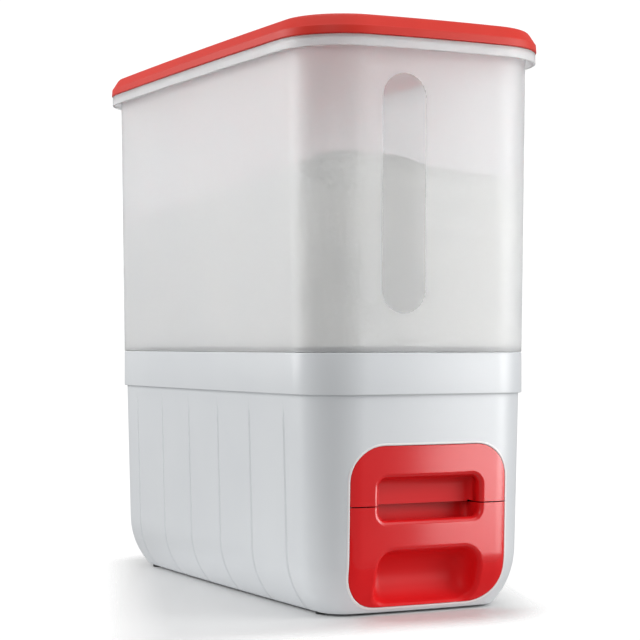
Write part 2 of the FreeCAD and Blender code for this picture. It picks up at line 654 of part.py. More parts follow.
def make_hopper():
    """Hopper: rim on the base's ledge, skewed funnel down to the mouth above the tray."""
    body = new_body("Hopper")
    rim = plan_sketch(body, "HopperRim", "Places.ledge_level", "neck_grow")
    extrude(body, "Pad", rim, "Sizes.hopper_flange")
    for kind, top_grow, inset, low in (
            ("Additive", "hopper_grow", "0", "Sizes.mouth_level"),
            ("Subtractive", "hopper_inner", "Sizes.hopper_wall", "Sizes.mouth_level")):
        top = plan_sketch(body, f"{kind}Top", "Places.ledge_level + Sizes.hopper_flange", top_grow)
        mouth = new_sketch(body, f"{kind}Mouth", "XY_Plane", low)
        half = f"Sizes.mouth_half_width - {inset}"
        rounded_rectangle(mouth, f"-({half})", half, f"Places.mouth_front_y + {inset}",
                          f"Places.mouth_back_y - {inset}", f"Sizes.mouth_radius - {inset}")
        loft = body.newObject(f"PartDesign::{kind}Loft", f"{kind}Funnel")
        loft.Profile = top
        loft.Sections = [mouth]
        loft.Ruled = True
        doc.recompute()
    return body


def make_tray():
    """Drawer tray with the shutter plate that closes the mouth while the drawer is out."""
    body = new_body("Tray")
    half = "Sizes.tray_half_width"
    wall = "Sizes.tray_wall"
    plan = new_sketch(body, "TrayPlan", "XY_Plane", "Sizes.tray_low")
    rounded_rectangle(plan, f"-{half}", half, "Places.tray_front", "Places.tray_back",
                      "Sizes.tray_radius")
    form = extrude(body, "Pad", plan, "Sizes.tray_high - Sizes.tray_low")
    low = value("tray_low")
    edges = [f"Edge{number}" for number, edge in enumerate(form.Shape.Edges, start=1)
             if edge.BoundBox.ZMax < low + 0.01]
    rounding = body.newObject("PartDesign::Fillet", "TrayRounding")
    rounding.Base = (form, edges)
    rounding.setExpression("Radius", "Sizes.tray_radius - Sizes.tray_wall")
    doc.recompute()
    inside = new_body("TrayInside")
    hollow = new_sketch(inside, "TrayHollow", "XY_Plane", f"Sizes.tray_low + {wall}")
    rounded_rectangle(hollow, f"-({half} - {wall})", f"{half} - {wall}",
                      f"Places.tray_front + {wall}", f"Places.tray_back - {wall}",
                      f"Sizes.tray_radius - {wall}")
    space = extrude(inside, "Pad", hollow, "Sizes.tray_high")
    low = evaluate(f"Sizes.tray_low + {wall}")
    edges = [f"Edge{number}" for number, edge in enumerate(space.Shape.Edges, start=1)
             if edge.BoundBox.ZMax < low + 0.01]
    rounding = inside.newObject("PartDesign::Fillet", "HollowRounding")
    rounding.Base = (space, edges)
    rounding.setExpression("Radius", f"Sizes.tray_radius - 2 * {wall}")
    doc.recompute()
    start = "Places.tray_back - Sizes.tray_radius"
    plate = box("ShutterPlate", (f"-{half}", half), (start, "Places.shutter_back"),
                (f"Sizes.tray_high - {wall}", "Sizes.tray_high"))
    runners = [box(f"Runner{name}", (low_x, high_x), (start, "Places.shutter_back"),
                   ("Sizes.tray_high - Sizes.shutter_skirt", "Sizes.tray_high"))
               for name, low_x, high_x in (("Left", f"-{half}", f"-{half} + {wall}"),
                                           ("Right", f"{half} - {wall}", half))]
    stop = box("StopRib", (f"-{half} / 2", f"{half} / 2"),
               (f"Places.shutter_back - 3 * {wall}", f"Places.shutter_back - 2 * {wall}"),
               ("Sizes.tray_high", "Sizes.tray_high + Sizes.stop_height"))
    return cut("DrawerTray", fuse("TrayForm", body, plate, *runners, stop), inside)


def make_guide(inner_form):
    """Drawer guide: channel on the base's floor with keepers over the shutter's runners."""
    outer = "Places.guide_half_width"
    wall = "Sizes.guide_wall"
    front = "Places.tray_front"
    block = box("GuideBlock", (f"-{outer}", outer), (front, "Places.guide_back"),
                ("Places.floor_level", "Sizes.guide_height"))
    rear = box("GuideRear", (f"-{outer}", outer),
               ("Places.guide_back - Sizes.keeper_length", "Places.guide_back"),
               ("Places.floor_level", f"Places.keeper_level + {wall}"))
    inner = f"{outer} - {wall}"
    channel = box("GuideChannel", (f"-({inner})", inner),
                  (f"{front} - {FAR}", f"Places.guide_back - {wall}"),
                  ("Sizes.tray_low - Sizes.nest_gap", "Places.keeper_level"))
    slot = box("GuideSlot", (f"-({inner} - Sizes.keeper_reach)", f"{inner} - Sizes.keeper_reach"),
               (f"{front} - {FAR}", f"Places.guide_back - {wall}"),
               ("Sizes.tray_high", f"Places.keeper_level + {wall} + {FAR}"))
    form = common("GuideSeated", fuse("GuideForm", block, rear), inner_form)
    return cut("Guide", form, fuse("GuideSpace", channel, slot))


def pocket_tool(name, grow, depth, floor, low):
    """A finger pocket: a rounded opening in the face and the box-shaped space behind it."""
    half = f"Sizes.grip_half_width + {grow}"
    radius = f"Sizes.pocket_radius + {grow}"
    mouth = face_prism(f"{name}Mouth", half, f"{low} - {grow}", f"Sizes.pocket_high + {grow}",
                       radius, f"Sizes.bar_thickness + {grow}")
    back = f"Places.face_split + {depth} + {grow}"
    space = box(f"{name}Block", (f"-({half})", half),
                (f"Places.face_split + Sizes.bar_thickness - {grow}", back),
                (f"{floor} - {grow}", f"Sizes.pocket_high + {grow}"))
    doc.recompute()
    rear = evaluate(back)
    space = round_edges(f"{name}Space", space, radius,
                        lambda edge: edge.BoundBox.YMin > rear - TOUCH)
    return fuse(name, mouth, space)


def rim_edges(*forms):
    """Accepts the edges that lie on the outside of every given form."""
    shells = [form.Shape.Shells[0] for form in forms]

    def on_all(edge):
        middle = edge.valueAt((edge.FirstParameter + edge.LastParameter) / 2)
        point = Part.Vertex(middle)
        return all(shell.distToShape(point)[0] < TOUCH for shell in shells)
    return on_all


def either(first, second):
    return lambda edge: first(edge) or second(edge)


def hollow_tool(name, radius, level, inset, face, end_radius, grow):
    """A finger hollow: a bar along X with rounded ends."""
    rod = bar(f"{name}Bar", f"{radius} + {grow}", f"Sizes.grip_half_width + {grow}",
              f"{face} + {inset}", level)
    doc.recompute()
    return round_edges(name, rod, f"{end_radius} + {grow}",
                       lambda edge: edge.BoundBox.XLength < 0.01)


def make_front_pieces(outer, shell):
    """Drawer front and flap, cut from the base's own outer form so that they lie flush."""
    prism = panel_prism("Panel", "0", "Sizes.front_depth")
    form = common("PanelForm", outer, prism)
    skin = common("PanelSkin", shell, prism)
    far = "Sizes.depth"
    below = box("BelowSplit", (f"-{far}", far), (f"-{far}", "0"),
                ("0", "Sizes.split_level - Sizes.split_gap / 2"))
    above = box("AboveSplit", (f"-{far}", far), (f"-{far}", "0"),
                ("Sizes.split_level + Sizes.split_gap / 2", "Places.collar_level"))
    doc.recompute()
    return make_drawer_front(outer, form, skin, below), make_flap(outer, form, skin, above)


def make_drawer_front(outer, form, skin, below):
    """Drawer front: skin, solid grip bar, the shells behind pocket and scoop, and two ribs."""
    wall = "Sizes.recess_wall"
    pocket_sizes = ("Sizes.pocket_depth", "Sizes.pocket_floor", "Sizes.bar_top")
    pocket = pocket_tool("Pocket", "0", *pocket_sizes)
    pocket_shell = pocket_tool("PocketShell", wall, *pocket_sizes)
    scoop_sizes = ("Sizes.scoop_radius", "Sizes.scoop_level", "Sizes.scoop_inset",
                   "Places.face_split", "Sizes.scoop_end_radius")
    scoop = hollow_tool("Scoop", *scoop_sizes, "0")
    scoop_shell = hollow_tool("ScoopShell", *scoop_sizes, wall)
    half = "Sizes.grip_half_width + Sizes.recess_wall"
    grip = box("GripBar", (f"-({half})", half),
               ("-Sizes.depth", "Places.face_split + Sizes.bar_thickness"),
               ("Sizes.scoop_level + Sizes.scoop_radius / 2", "Sizes.bar_top"))
    ribs = [box(f"Rib{name}", (f"{side} * Sizes.rib_offset - Sizes.rib_thickness / 2",
                               f"{side} * Sizes.rib_offset + Sizes.rib_thickness / 2"),
                ("-Sizes.depth", "Places.tray_front"), ("Sizes.rib_low", "Sizes.rib_high"))
            for name, side in (("Left", -1), ("Right", 1))]
    backing = common("FrontBacking", form,
                     fuse("FrontForms", pocket_shell, scoop_shell, grip, *ribs))
    whole = common("FrontLower", fuse("FrontSolid", skin, backing), below)
    opened = cut("FrontOpened", whole, fuse("FrontHollows", pocket, scoop))
    return round_edges("DrawerFront", opened, "Sizes.rim_radius",
                       either(rim_edges(outer, pocket), rim_edges(outer, scoop)))


def make_flap(outer, form, skin, above):
    """Flap: skin with its part of the pocket, and a knuckle at each side for a hinge pin."""
    wall = "Sizes.recess_wall"
    sizes = ("Sizes.hood_depth", "Sizes.pocket_floor", "Sizes.bar_top")
    pocket = pocket_tool("Hood", "0", *sizes)
    hood = common("HoodBacking", form, pocket_tool("HoodShell", wall, *sizes))
    whole = common("FlapForm", fuse("FlapSolid", skin, hood), above)
    lower = box("FlapLower", ("-Sizes.width", "Sizes.width"), ("-Sizes.depth", "0"),
                ("0", "Sizes.hinge_level - Sizes.hinge_relief"))
    # as it swings, what lies behind its axis dips: only between the pocket's sides is there room
    swing = bar("FlapSwing", "Places.swing_radius", "Sizes.width", "Places.hinge_y",
                "Sizes.hinge_level")
    half = "Sizes.grip_half_width - Sizes.hood_corner"
    middle = box("FlapMiddle", (f"-({half})", half), ("-Sizes.depth", "0"),
                 ("0", "Places.collar_level"))
    ahead = box("FlapAhead", ("-Sizes.width", "Sizes.width"), ("-Sizes.depth", "Places.hinge_y"),
                ("0", "Places.collar_level"))
    whole = common("FlapTrimmed", whole, fuse("FlapSweep", make_flap_reach(), lower),
                   fuse("FlapFree", swing, middle, ahead))
    opened = cut("FlapHollowed", whole, pocket)
    rounded = round_edges("FlapRounded", opened, "Sizes.rim_radius", rim_edges(outer, pocket))
    knuckles = []
    for name, end in (("Left", "-Places.knuckle_end"),
                      ("Right", "Places.knuckle_end - Sizes.knuckle_length")):
        knuckle = bar(f"Knuckle{name}", "Sizes.knuckle_radius", "Sizes.knuckle_length / 2",
                      "Places.hinge_y", "Sizes.hinge_level")
        knuckle.setExpression("Placement.Base.x", end)
        knuckles.append(knuckle)
    solid = fuse("FlapKnuckled", rounded, *knuckles)
    bores = [hinge_pin(f"Bore{name}", side, "Sizes.pin_radius + Sizes.pin_play")
             for name, side in (("Left", -1), ("Right", 1))]
    return cut("Flap", solid, fuse("FlapBores", *bores))


def make_flap_reach():
    """What the flap may fill above its axis: the opening's outline turned about that axis."""
    body = new_body("FlapReach")
    sketch = new_sketch(body, "FlapReachOutline", "XZ_Plane", "-Places.hinge_y")
    axis = value("hinge_level")
    x = evaluate("Sizes.panel_half_width - Sizes.panel_radius")
    y = evaluate("Sizes.panel_high - Sizes.panel_radius")
    radius_text = "Sizes.panel_radius + Sizes.panel_gap - Sizes.hinge_clearance"
    radius = evaluate(radius_text)
    start = math.asin((axis - y) / radius)
    reach = x + radius * math.cos(start)
    quarter = math.pi / 2
    sketch.addGeometry(Part.LineSegment(Vector(-reach, axis, 0), Vector(reach, axis, 0)), False)
    sketch.addGeometry(Part.ArcOfCircle(Part.Circle(Vector(x, y, 0), UP, radius),
                                        start, quarter), False)
    sketch.addGeometry(Part.LineSegment(Vector(x, y + radius, 0), Vector(-x, y + radius, 0)),
                       False)
    sketch.addGeometry(Part.ArcOfCircle(Part.Circle(Vector(-x, y, 0), UP, radius),
                                        quarter, 2 * quarter - start), False)
    constrain(sketch, "Coincident", 0, 2, 1, 1)
    constrain(sketch, "Tangent", 1, 2, 2, 1)
    constrain(sketch, "Tangent", 2, 2, 3, 1)
    constrain(sketch, "Coincident", 3, 2, 0, 1)
    constrain(sketch, "Horizontal", 0)
    constrain(sketch, "Horizontal", 2)
    constrain(sketch, "Radius", 1, number=radius, expression=radius_text)
    constrain(sketch, "Equal", 1, 3)
    constrain(sketch, "DistanceY", -1, 1, 0, 1, number=axis, expression="Sizes.hinge_level")
    constrain(sketch, "DistanceX", -1, 1, 1, 3, number=x,
              expression="Sizes.panel_half_width - Sizes.panel_radius")
    constrain(sketch, "DistanceX", 3, 3, -1, 1, number=x,
              expression="Sizes.panel_half_width - Sizes.panel_radius")
    constrain(sketch, "DistanceY", -1, 1, 1, 3, number=y,
              expression="Sizes.panel_high - Sizes.panel_radius")
    turned = body.newObject("PartDesign::Revolution", "FlapReachTurned")
    turned.Profile = sketch
    turned.ReferenceAxis = (sketch, ["Edge1"])
    turned.Angle = 360
    doc.recompute()
    return body


def hinge_pin(name, side, radius):
    """A pin along X at the left (-1) or right (1) end of the flap's axis."""
    pin = bar(name, radius, "Sizes.pin_length / 2", "Places.hinge_y", "Sizes.hinge_level")
    start = "-Places.pin_end" if side < 0 else "Places.pin_end - Sizes.pin_length"
    pin.setExpression("Placement.Base.x", start)
    return pin


def check_document():
    for item in doc.Objects:
        if {"Invalid", "Error"} & set(item.State):
            raise RuntimeError(f"{item.Name} failed: {item.State}")


def write_parts(parts):
    """Labels each sub-part and writes its STEP file."""
    doc.recompute()
    check_document()
    os.makedirs("parts", exist_ok=True)
    for name, item in parts.items():
        item.Label = name
        shape = item.Shape
        if shape.isNull() or not shape.isValid():
            raise RuntimeError(f"{name} has no valid shape")
        shape.exportStep(f"parts/{name}.step")
        print(f"{name}: {len(shape.Solids)} solid, {shape.Volume / 1000:.1f} cm3")


def main():
    fill_sheets()
    outer, inner, shell, base = make_base()
    drawer_front, flap = make_front_pieces(outer, shell)
    parts = {
        "lid": make_lid(),
        "container": make_container(),
        "base_housing": base,
        "hopper": make_hopper(),
        "drawer_guide": make_guide(inner),
        "drawer_front": drawer_front,
        "drawer_tray": make_tray(),
        "flap": flap,
        "hinge_pin_left": hinge_pin("PinLeft", -1, "Sizes.pin_radius"),
        "hinge_pin_right": hinge_pin("PinRight", 1, "Sizes.pin_radius"),
    }
    parts.update(make_feet())
    write_parts(parts)


main()
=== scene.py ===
# %% [markdown]
# # A rice dispenser with a drawer
# This kitchen bin keeps about ten kilograms of rice. A frosted container stands in the
# collar of a white base, a red lid presses on top, and a hopper inside the base feeds a
# drawer behind the red front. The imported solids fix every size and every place, so they
# are loaded first, and the visual pieces are then worked out over them.

import bmesh
import bpy
import numpy as np
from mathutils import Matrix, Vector


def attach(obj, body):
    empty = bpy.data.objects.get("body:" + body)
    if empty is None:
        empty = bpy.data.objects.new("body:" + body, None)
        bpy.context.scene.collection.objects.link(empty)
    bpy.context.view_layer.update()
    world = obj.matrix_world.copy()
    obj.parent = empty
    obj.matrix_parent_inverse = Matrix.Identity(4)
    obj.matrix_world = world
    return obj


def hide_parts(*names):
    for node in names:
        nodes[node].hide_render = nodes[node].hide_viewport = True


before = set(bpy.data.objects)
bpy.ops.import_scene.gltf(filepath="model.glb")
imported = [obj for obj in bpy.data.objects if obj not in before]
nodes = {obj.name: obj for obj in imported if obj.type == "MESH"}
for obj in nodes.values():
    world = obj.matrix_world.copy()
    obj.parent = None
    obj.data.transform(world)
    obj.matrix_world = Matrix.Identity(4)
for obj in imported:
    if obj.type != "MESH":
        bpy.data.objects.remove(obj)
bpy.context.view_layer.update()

# %% [markdown]
# ## The plan outline
# Seen from above, the lid, the container and the base are all the same shape: a long
# rectangle with bowed sides and round corners. It could be drawn four times by hand, but
# all its offsets share the same arc centres, so one loop of points with one loop of
# outward normals serves every piece: a piece only says how far outside the loop it lies.

# %% Sizes of the plan, in metres
WIDTH, DEPTH, CORNER = 0.185, 0.400, 0.040
SIDE_BOW, END_BOW = 0.0025, 0.005


def arc_radius(chord, bow):
    """Radius of the arc over a chord: a quarter of the chord squared plus the bow squared,
    over twice the bow."""
    return (chord ** 2 / 4 + bow ** 2) / (2 * bow)


side_arc, end_arc = arc_radius(DEPTH, SIDE_BOW), arc_radius(WIDTH, END_BOW)
side_middle, end_middle = side_arc - WIDTH / 2, end_arc - DEPTH / 2
print("arcs:", round(side_arc, 3), "m along the sides,", round(end_arc, 3), "m at the ends")

# %% [markdown]
# A mould maker lets the corner run into both long arcs without a kink. The place of its
# centre could be tried by hand, but two arcs touch from inside when their centres are as far
# apart as their radii differ. So the corner's centre is where two such circles meet.

# %% Centre of a corner arc
apart = np.hypot(side_middle, end_middle)
to_side, to_end = side_arc - CORNER, end_arc - CORNER
forth = (to_side ** 2 - to_end ** 2 + apart ** 2) / (2 * apart)
aside = np.sqrt(to_side ** 2 - forth ** 2)
toward = np.array([side_middle, -end_middle]) / apart
square_to = np.array([-toward[1], toward[0]])
corner_middle = np.array([-side_middle, 0.0]) + toward * forth + square_to * aside
side_turn = np.arctan2(corner_middle[1], corner_middle[0] + side_middle)
end_turn = np.arctan2(corner_middle[1] + end_middle, corner_middle[0])
print("corner arc:", corner_middle.round(4), "and it turns",
      round(float(np.degrees(end_turn - side_turn)), 1), "degrees")

# %% [markdown]
# Three arcs make a quarter of the outline, and the bin is the same left and right and front
# and back, so that quarter is mirrored twice. A curve object would round its places on its
# own terms. Here each place has its exact normal with it, which the offsets need.

# %% The loop of points and normals
SIDE_END = 0.17  # the last stop of the long side before its corner
SAME_ANGLE = 1e-4


def plan_loop(side_stops, corner_steps=14, end_steps=14):
    """A quarter of the loop, mirrored twice. Each arc point is the arc's centre plus its
    radius times (cos a, sin a), and (cos a, sin a) is also the normal there."""
    side_angles = np.arcsin(np.asarray(side_stops) / side_arc)
    side_angles = np.append(side_angles[side_angles < side_turn - SAME_ANGLE], side_turn)
    corner_angles = np.linspace(side_turn, end_turn, corner_steps + 1)[1:]
    end_angles = np.linspace(end_turn, np.pi / 2, end_steps + 1)[1:]
    parts = []
    for centre, radius, angles in (((-side_middle, 0.0), side_arc, side_angles),
                                   (corner_middle, CORNER, corner_angles),
                                   ((0.0, -end_middle), end_arc, end_angles)):
        normal = np.column_stack([np.cos(angles), np.sin(angles)])
        parts.append(np.hstack([np.asarray(centre) + radius * normal, normal]))
    quarter = np.vstack(parts)
    turn = np.array([-1, 1, -1, 1.0])
    loop = np.vstack([quarter, quarter[-2::-1] * turn, -quarter[1:], quarter[-2:0:-1] * -turn])
    return loop[:, :2], loop[:, 2:]


plain_points, plain_normals = plan_loop(np.linspace(0, SIDE_END, 15))
print("plain loop:", len(plain_points), "points")

# %% [markdown]
# ## From a profile to a solid
# Each moulded piece is its own cross-section carried round the plan loop, as if a wire
# bent to the section were pulled round it. A section is a list of places (offset outside
# the loop, height). Its corners are softened first, because no mould makes a sharp edge,
# and that soft edge is what catches the light.

# %% Softened sections
BEND_STEPS = 5  # places on each softened corner


def soften(section, radius, most=0.45):
    """Each corner C between neighbours is replaced by the curve (1-t)^2 A + 2t(1-t) C + t^2 B,
    where A and B lie `radius` from C towards its neighbours, but at most `most` of the way."""
    section = np.asarray(section, dtype=float)
    before, after = np.roll(section, 1, 0) - section, np.roll(section, -1, 0) - section
    radius = np.broadcast_to(radius, len(section))[:, None]
    lengths = [np.maximum(np.linalg.norm(v, axis=1, keepdims=True), 1e-9) for v in (before, after)]
    a, b = (section + v / n * np.minimum(radius, most * n)
            for v, n in zip((before, after), lengths))
    t = np.linspace(0, 1, BEND_STEPS)[None, :, None]
    curve = (1 - t) ** 2 * a[:, None] + 2 * t * (1 - t) * section[:, None] + t ** 2 * b[:, None]
    return curve.reshape(-1, section.shape[1])


def divide(section, step):
    """The same line with extra places, so that no run is longer than `step`."""
    runs = np.linalg.norm(np.diff(section[:, :2], axis=0), axis=1)
    length = np.concatenate([[0], np.cumsum(runs)])
    places = np.unique(np.concatenate([length, np.arange(0, length[-1], step)]).round(6))
    return np.column_stack([np.interp(places, length, column) for column in section.T])


unit = soften([(0, 0), (1, 0), (1, 1), (0, 1)], 0.2)
print("a softened square has", len(unit), "places")

# %% [markdown]
# The section is one parameter of the surface and the loop is the other. Where a piece is
# closed in the middle, as the lid's panel is, the section runs on to the axis by shrinking
# the loop to a point. Blender's Screw or Array could turn a section, but only round a
# circle or a line, and this plan is neither.


# %% The grid over loop and section
def ring_faces(rows, columns, closed=False):
    """Four-cornered faces between neighbouring rows and columns of a grid. The columns run
    round in a ring, and so do the rows where it is closed."""
    index = np.arange(rows * columns).reshape(rows, columns)
    lower = index if closed else index[:-1]
    upper = np.roll(index, -1, 0) if closed else index[1:]
    return np.stack([lower, np.roll(lower, -1, 1), np.roll(upper, -1, 1), upper],
                    -1).reshape(-1, 4)


def carry(section, points, normals, closed=False):
    """Point (u, v) = shrink(v) * (P(u) + offset(v) * N(u)), at height(v). Returns the points
    and the faces between them."""
    section = np.asarray(section)
    shrink = section[:, 2] if section.shape[1] > 2 else np.ones(len(section))
    flat = shrink[:, None, None] * (points[None] + section[:, 0, None, None] * normals[None])
    height = np.broadcast_to(section[:, 1, None, None], (*flat.shape[:2], 1))
    return np.concatenate([flat, height], 2), ring_faces(*flat.shape[:2], closed)


print("two rings make", len(ring_faces(2, len(plain_points))), "faces")

# %% [markdown]
# A grid becomes a closed skin only when places that coincide are joined, so that no seam
# shows, and when all its faces point outward. Then it is put into the scene, rides on a
# body of the frame, and hides the solids that it stands for.

# %% Pieces from grids
JOINED, FINELY_JOINED, NO_AREA = 2e-6, 1e-6, 1e-6


def closed_mesh(name, places, faces, joined=JOINED):
    """A mesh from grid arrays: places nearer than `joined` become one, faces without an area
    go, and the rest turn outward."""
    mesh = bpy.data.meshes.new(name)
    mesh.from_pydata(places.reshape(-1, 3).tolist(), [], faces.tolist())
    work = bmesh.new()
    work.from_mesh(mesh)
    bmesh.ops.remove_doubles(work, verts=work.verts, dist=joined)
    bmesh.ops.dissolve_degenerate(work, edges=work.edges, dist=NO_AREA)
    bmesh.ops.recalc_face_normals(work, faces=work.faces)
    work.to_mesh(mesh)
    work.free()
    return mesh


def shade(mesh, sharp):
    """Smooth shading, with edges sharper than `sharp` degrees kept crisp."""
    mesh.shade_smooth()
    mesh.set_sharp_from_angle(angle=np.radians(sharp))


def set_up(name, data):
    """An object of the scene that holds the data."""
    thing = bpy.data.objects.new(name, data)
    bpy.context.scene.collection.objects.link(thing)
    return thing


def add_piece(mesh, body, *stands_for, sharp=35):
    """A shaded piece that rides on a body and stands for the named nodes."""
    shade(mesh, sharp)
    piece = set_up(mesh.name, mesh)
    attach(piece, body)
    if stands_for:
        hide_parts(*stands_for)
    print(piece.name, "has", len(mesh.polygons), "faces")
    return piece


# %% [markdown]
# ## The lid
# The lid is one thick moulding: a bead at the bottom edge, a side that leans inward, a
# round top rim, and a panel sunk nine millimetres inside it. Under the rim runs a groove
# that takes the container's sealing lip. The whole section is one line from the middle of
# the sunk panel, over the rim, and back to the middle of the underside.

# %% Lid
RIM = 0.400
PANEL_EDGE, PANEL_TOP, PANEL_UNDER = -0.0019, RIM + 0.0055, RIM + 0.0033
lid_corners = np.array([
    (PANEL_EDGE, PANEL_TOP), (PANEL_EDGE, RIM + 0.0145), (0.0050, RIM + 0.0145),
    (0.0104, RIM + 0.0060), (0.0108, RIM + 0.0056), (0.0112, RIM), (0.0042, RIM),
    (0.0042, RIM + 0.0086), (0.0003, RIM + 0.0086), (0.0003, RIM - 0.0030),
    (PANEL_EDGE, RIM - 0.0030), (PANEL_EDGE, PANEL_UNDER)])
lid_bends = np.array([4, 1.4, 2.6, 0.5, 0.4, 0.7, 0.4, 0.3, 0.3, 0.5, 0.5, 0.5]) * 1e-3


def to_middle(section, first, last, steps):
    """The section with two flat runs added, from the axis to its first place and from its
    last place back. The third column is the shrink: 0 on the axis, 1 on the section."""
    shrink = np.linspace(0, 1, steps)[:-1, None]
    runs = [np.hstack([np.tile(end, (steps - 1, 1)), part])
            for end, part in ((first, shrink), (last, shrink[::-1]))]
    return np.vstack([runs[0], np.hstack([section, np.ones((len(section), 1))]), runs[1]])


lid_section = to_middle(soften(lid_corners, lid_bends), (PANEL_EDGE, PANEL_TOP),
                        (PANEL_EDGE, PANEL_UNDER), 9)
lid_skin = closed_mesh("lid_moulding", *carry(lid_section, plain_points, plain_normals))
lid = add_piece(lid_skin, "lid", "lid")

# %% [markdown]
# ## Where the front face is, and cutting through it
# Two details sit in the bowed front: the clear strip of the container and the opening for
# the drawer. Both need the y of the front face at any x and z, and both are cut with a
# solid of their own outline. An exact Boolean keeps their edges crisp where a displaced
# grid would smear them. The mesh is taken as it is after the cut, so nothing stays live.

# %% Front face and cutter
CUT_FROM, CUT_TO = -0.230, -0.150  # y before the front face, and well behind its wall


def face_depth(x, z, line):
    """The y of a piece's outside at its front: the end arc in the middle, the corner arc
    beyond it, both with the offset that the piece's line of (offset, height) has at z."""
    offset = np.interp(z, line[:, 1], line[:, 0])
    middle = end_middle - np.sqrt(np.maximum((end_arc + offset) ** 2 - x ** 2, 0))
    past = np.abs(x) - corner_middle[0]
    corner = -corner_middle[1] - np.sqrt(np.maximum((CORNER + offset) ** 2 - past ** 2, 0))
    join = corner_middle[0] + (CORNER + offset) * np.cos(end_turn)
    return np.where(np.abs(x) < join, middle, corner)


def cut_away(piece, places, sharp=35):
    """Takes the closed form of a grid away from a piece."""
    cutter = set_up("cutter", closed_mesh("cutter", places, ring_faces(*places.shape[:2]),
                                          FINELY_JOINED))
    taken = piece.modifiers.new("taken", "BOOLEAN")
    taken.object, taken.operation, taken.solver = cutter, "DIFFERENCE", "EXACT"
    ready = piece.evaluated_get(bpy.context.evaluated_depsgraph_get())
    whole = bpy.data.meshes.new_from_object(ready)
    piece.modifiers.clear()
    piece.data = whole
    shade(whole, sharp)
    bpy.data.objects.remove(cutter)
    print(piece.name, "after the cut:", len(whole.polygons), "faces")


# %% [markdown]
# ## The container
# The container is a thin-walled tub of frosted plastic without a floor. Its wall flares by
# three millimetres towards the top, its neck drops into the base, and a wide flange with a
# hanging skirt carries the lid. It is a closed ring of a section, inside and outside, so
# that light that goes through it meets two real surfaces, as it does in the real wall.

# %% Container
container_corners = [
    (-0.0029, 0.1588), (-0.0029, 0.1829), (0.0, 0.1833), (0.0030, 0.3915), (0.0030, 0.3980),
    (0.0084, 0.3980), (0.0084, 0.3920), (0.0104, 0.3920), (0.0104, 0.3997), (0.0030, 0.3999),
    (0.0030, 0.4078), (0.0006, 0.4078), (0.0006, 0.3920), (-0.0024, 0.1856), (-0.0051, 0.1854),
    (-0.0051, 0.1588)]
container_bends = np.array([0.4, 0.3, 0.8, 1.5, 0.8, 0.5, 0.5, 0.5, 0.8, 0.4, 0.6, 0.6, 1.5, 1.0,
                            0.5, 0.4]) * 1e-3
container_section = soften(container_corners, container_bends)
container_section = divide(np.vstack([container_section, container_section[:1]]), 0.012)[:-1]
container_skin = closed_mesh("container_shell", *carry(container_section, plain_points,
                                                       plain_normals, closed=True))
container = add_piece(container_skin, "base", "container")

# %% [markdown]
# The level strip is an upright slot with round ends left of the front's middle, where the
# wall is polished clear and lies four tenths of a millimetre deeper. Its cutter follows the
# wall: the slot's outline shrinks to its own middle line over the sunk face.

# %% Clear strip
STRIP_X, STRIP_HALF, STRIP_LOW, STRIP_HIGH, STRIP_SUNK = -0.0245, 0.017, 0.210, 0.376, 0.0004
container_face = np.array(container_corners[2:4])


def strip_outline(steps=16, runs=24):
    """Places round the slot and, for each, the nearest place on its middle line."""
    angle = np.linspace(0, np.pi, steps)
    arc = STRIP_HALF * np.column_stack([np.cos(angle), np.sin(angle)])
    low, high = STRIP_LOW + STRIP_HALF, STRIP_HIGH - STRIP_HALF
    rise = np.linspace(low, high, runs)[1:-1]
    core_z = np.concatenate([np.full(steps, high), rise[::-1], np.full(steps, low), rise])
    core = np.column_stack([np.full(len(core_z), STRIP_X), core_z])
    left, right = np.tile((-STRIP_HALF, 0), (runs - 2, 1)), np.tile((STRIP_HALF, 0), (runs - 2, 1))
    return core, core + np.vstack([arc, left, -arc, right])


strip_core, strip_rim = strip_outline()
spread = strip_core[None] + np.linspace(0, 1, 5)[:, None, None] * (strip_rim - strip_core)[None]
strip_depth = face_depth(spread[..., 0], spread[..., 1], container_face) + STRIP_SUNK
strip_back = np.stack([spread[..., 0], strip_depth, spread[..., 1]], -1)
strip_front = strip_back[::-1].copy()
strip_front[..., 1] = CUT_FROM
cut_away(container, np.concatenate([strip_back, strip_front]))

# %% [markdown]
# ## The base
# The base is a white tub. A collar steps out round its upper edge, the wall below it leans
# in by a degree and a half, and near the floor it turns in along an arc of sixty
# millimetres. The arc is worked out, not drawn, so that it meets the leaning wall without a
# kink and its inner side stays one wall thickness away.

# %% Section of the base
DRAFT = np.radians(1.5)
TURN_RADIUS, TURN_LEVEL, FLOOR, WALL = 0.060, 0.0415, 0.0015, 0.0026
COLLAR, COLLAR_TOP, LEDGE, STEP, FOOT_ROUND = 0.154, 0.183, 0.1566, 0.0024, 0.0022
turn_middle = TURN_LEVEL + TURN_RADIUS * np.sin(DRAFT)
turn_offset = -STEP - (COLLAR - TURN_LEVEL) * np.tan(DRAFT) - TURN_RADIUS * np.cos(DRAFT)


def turned_in(radius, low, steps=14):
    """The arc at the wall's foot, from its lowest point up: offset turn_offset + radius cos a
    and height turn_middle - radius sin a."""
    angles = np.linspace(np.arcsin((turn_middle - low) / radius), DRAFT, steps)
    return np.column_stack([turn_offset + radius * np.cos(angles),
                            turn_middle - radius * np.sin(angles)])


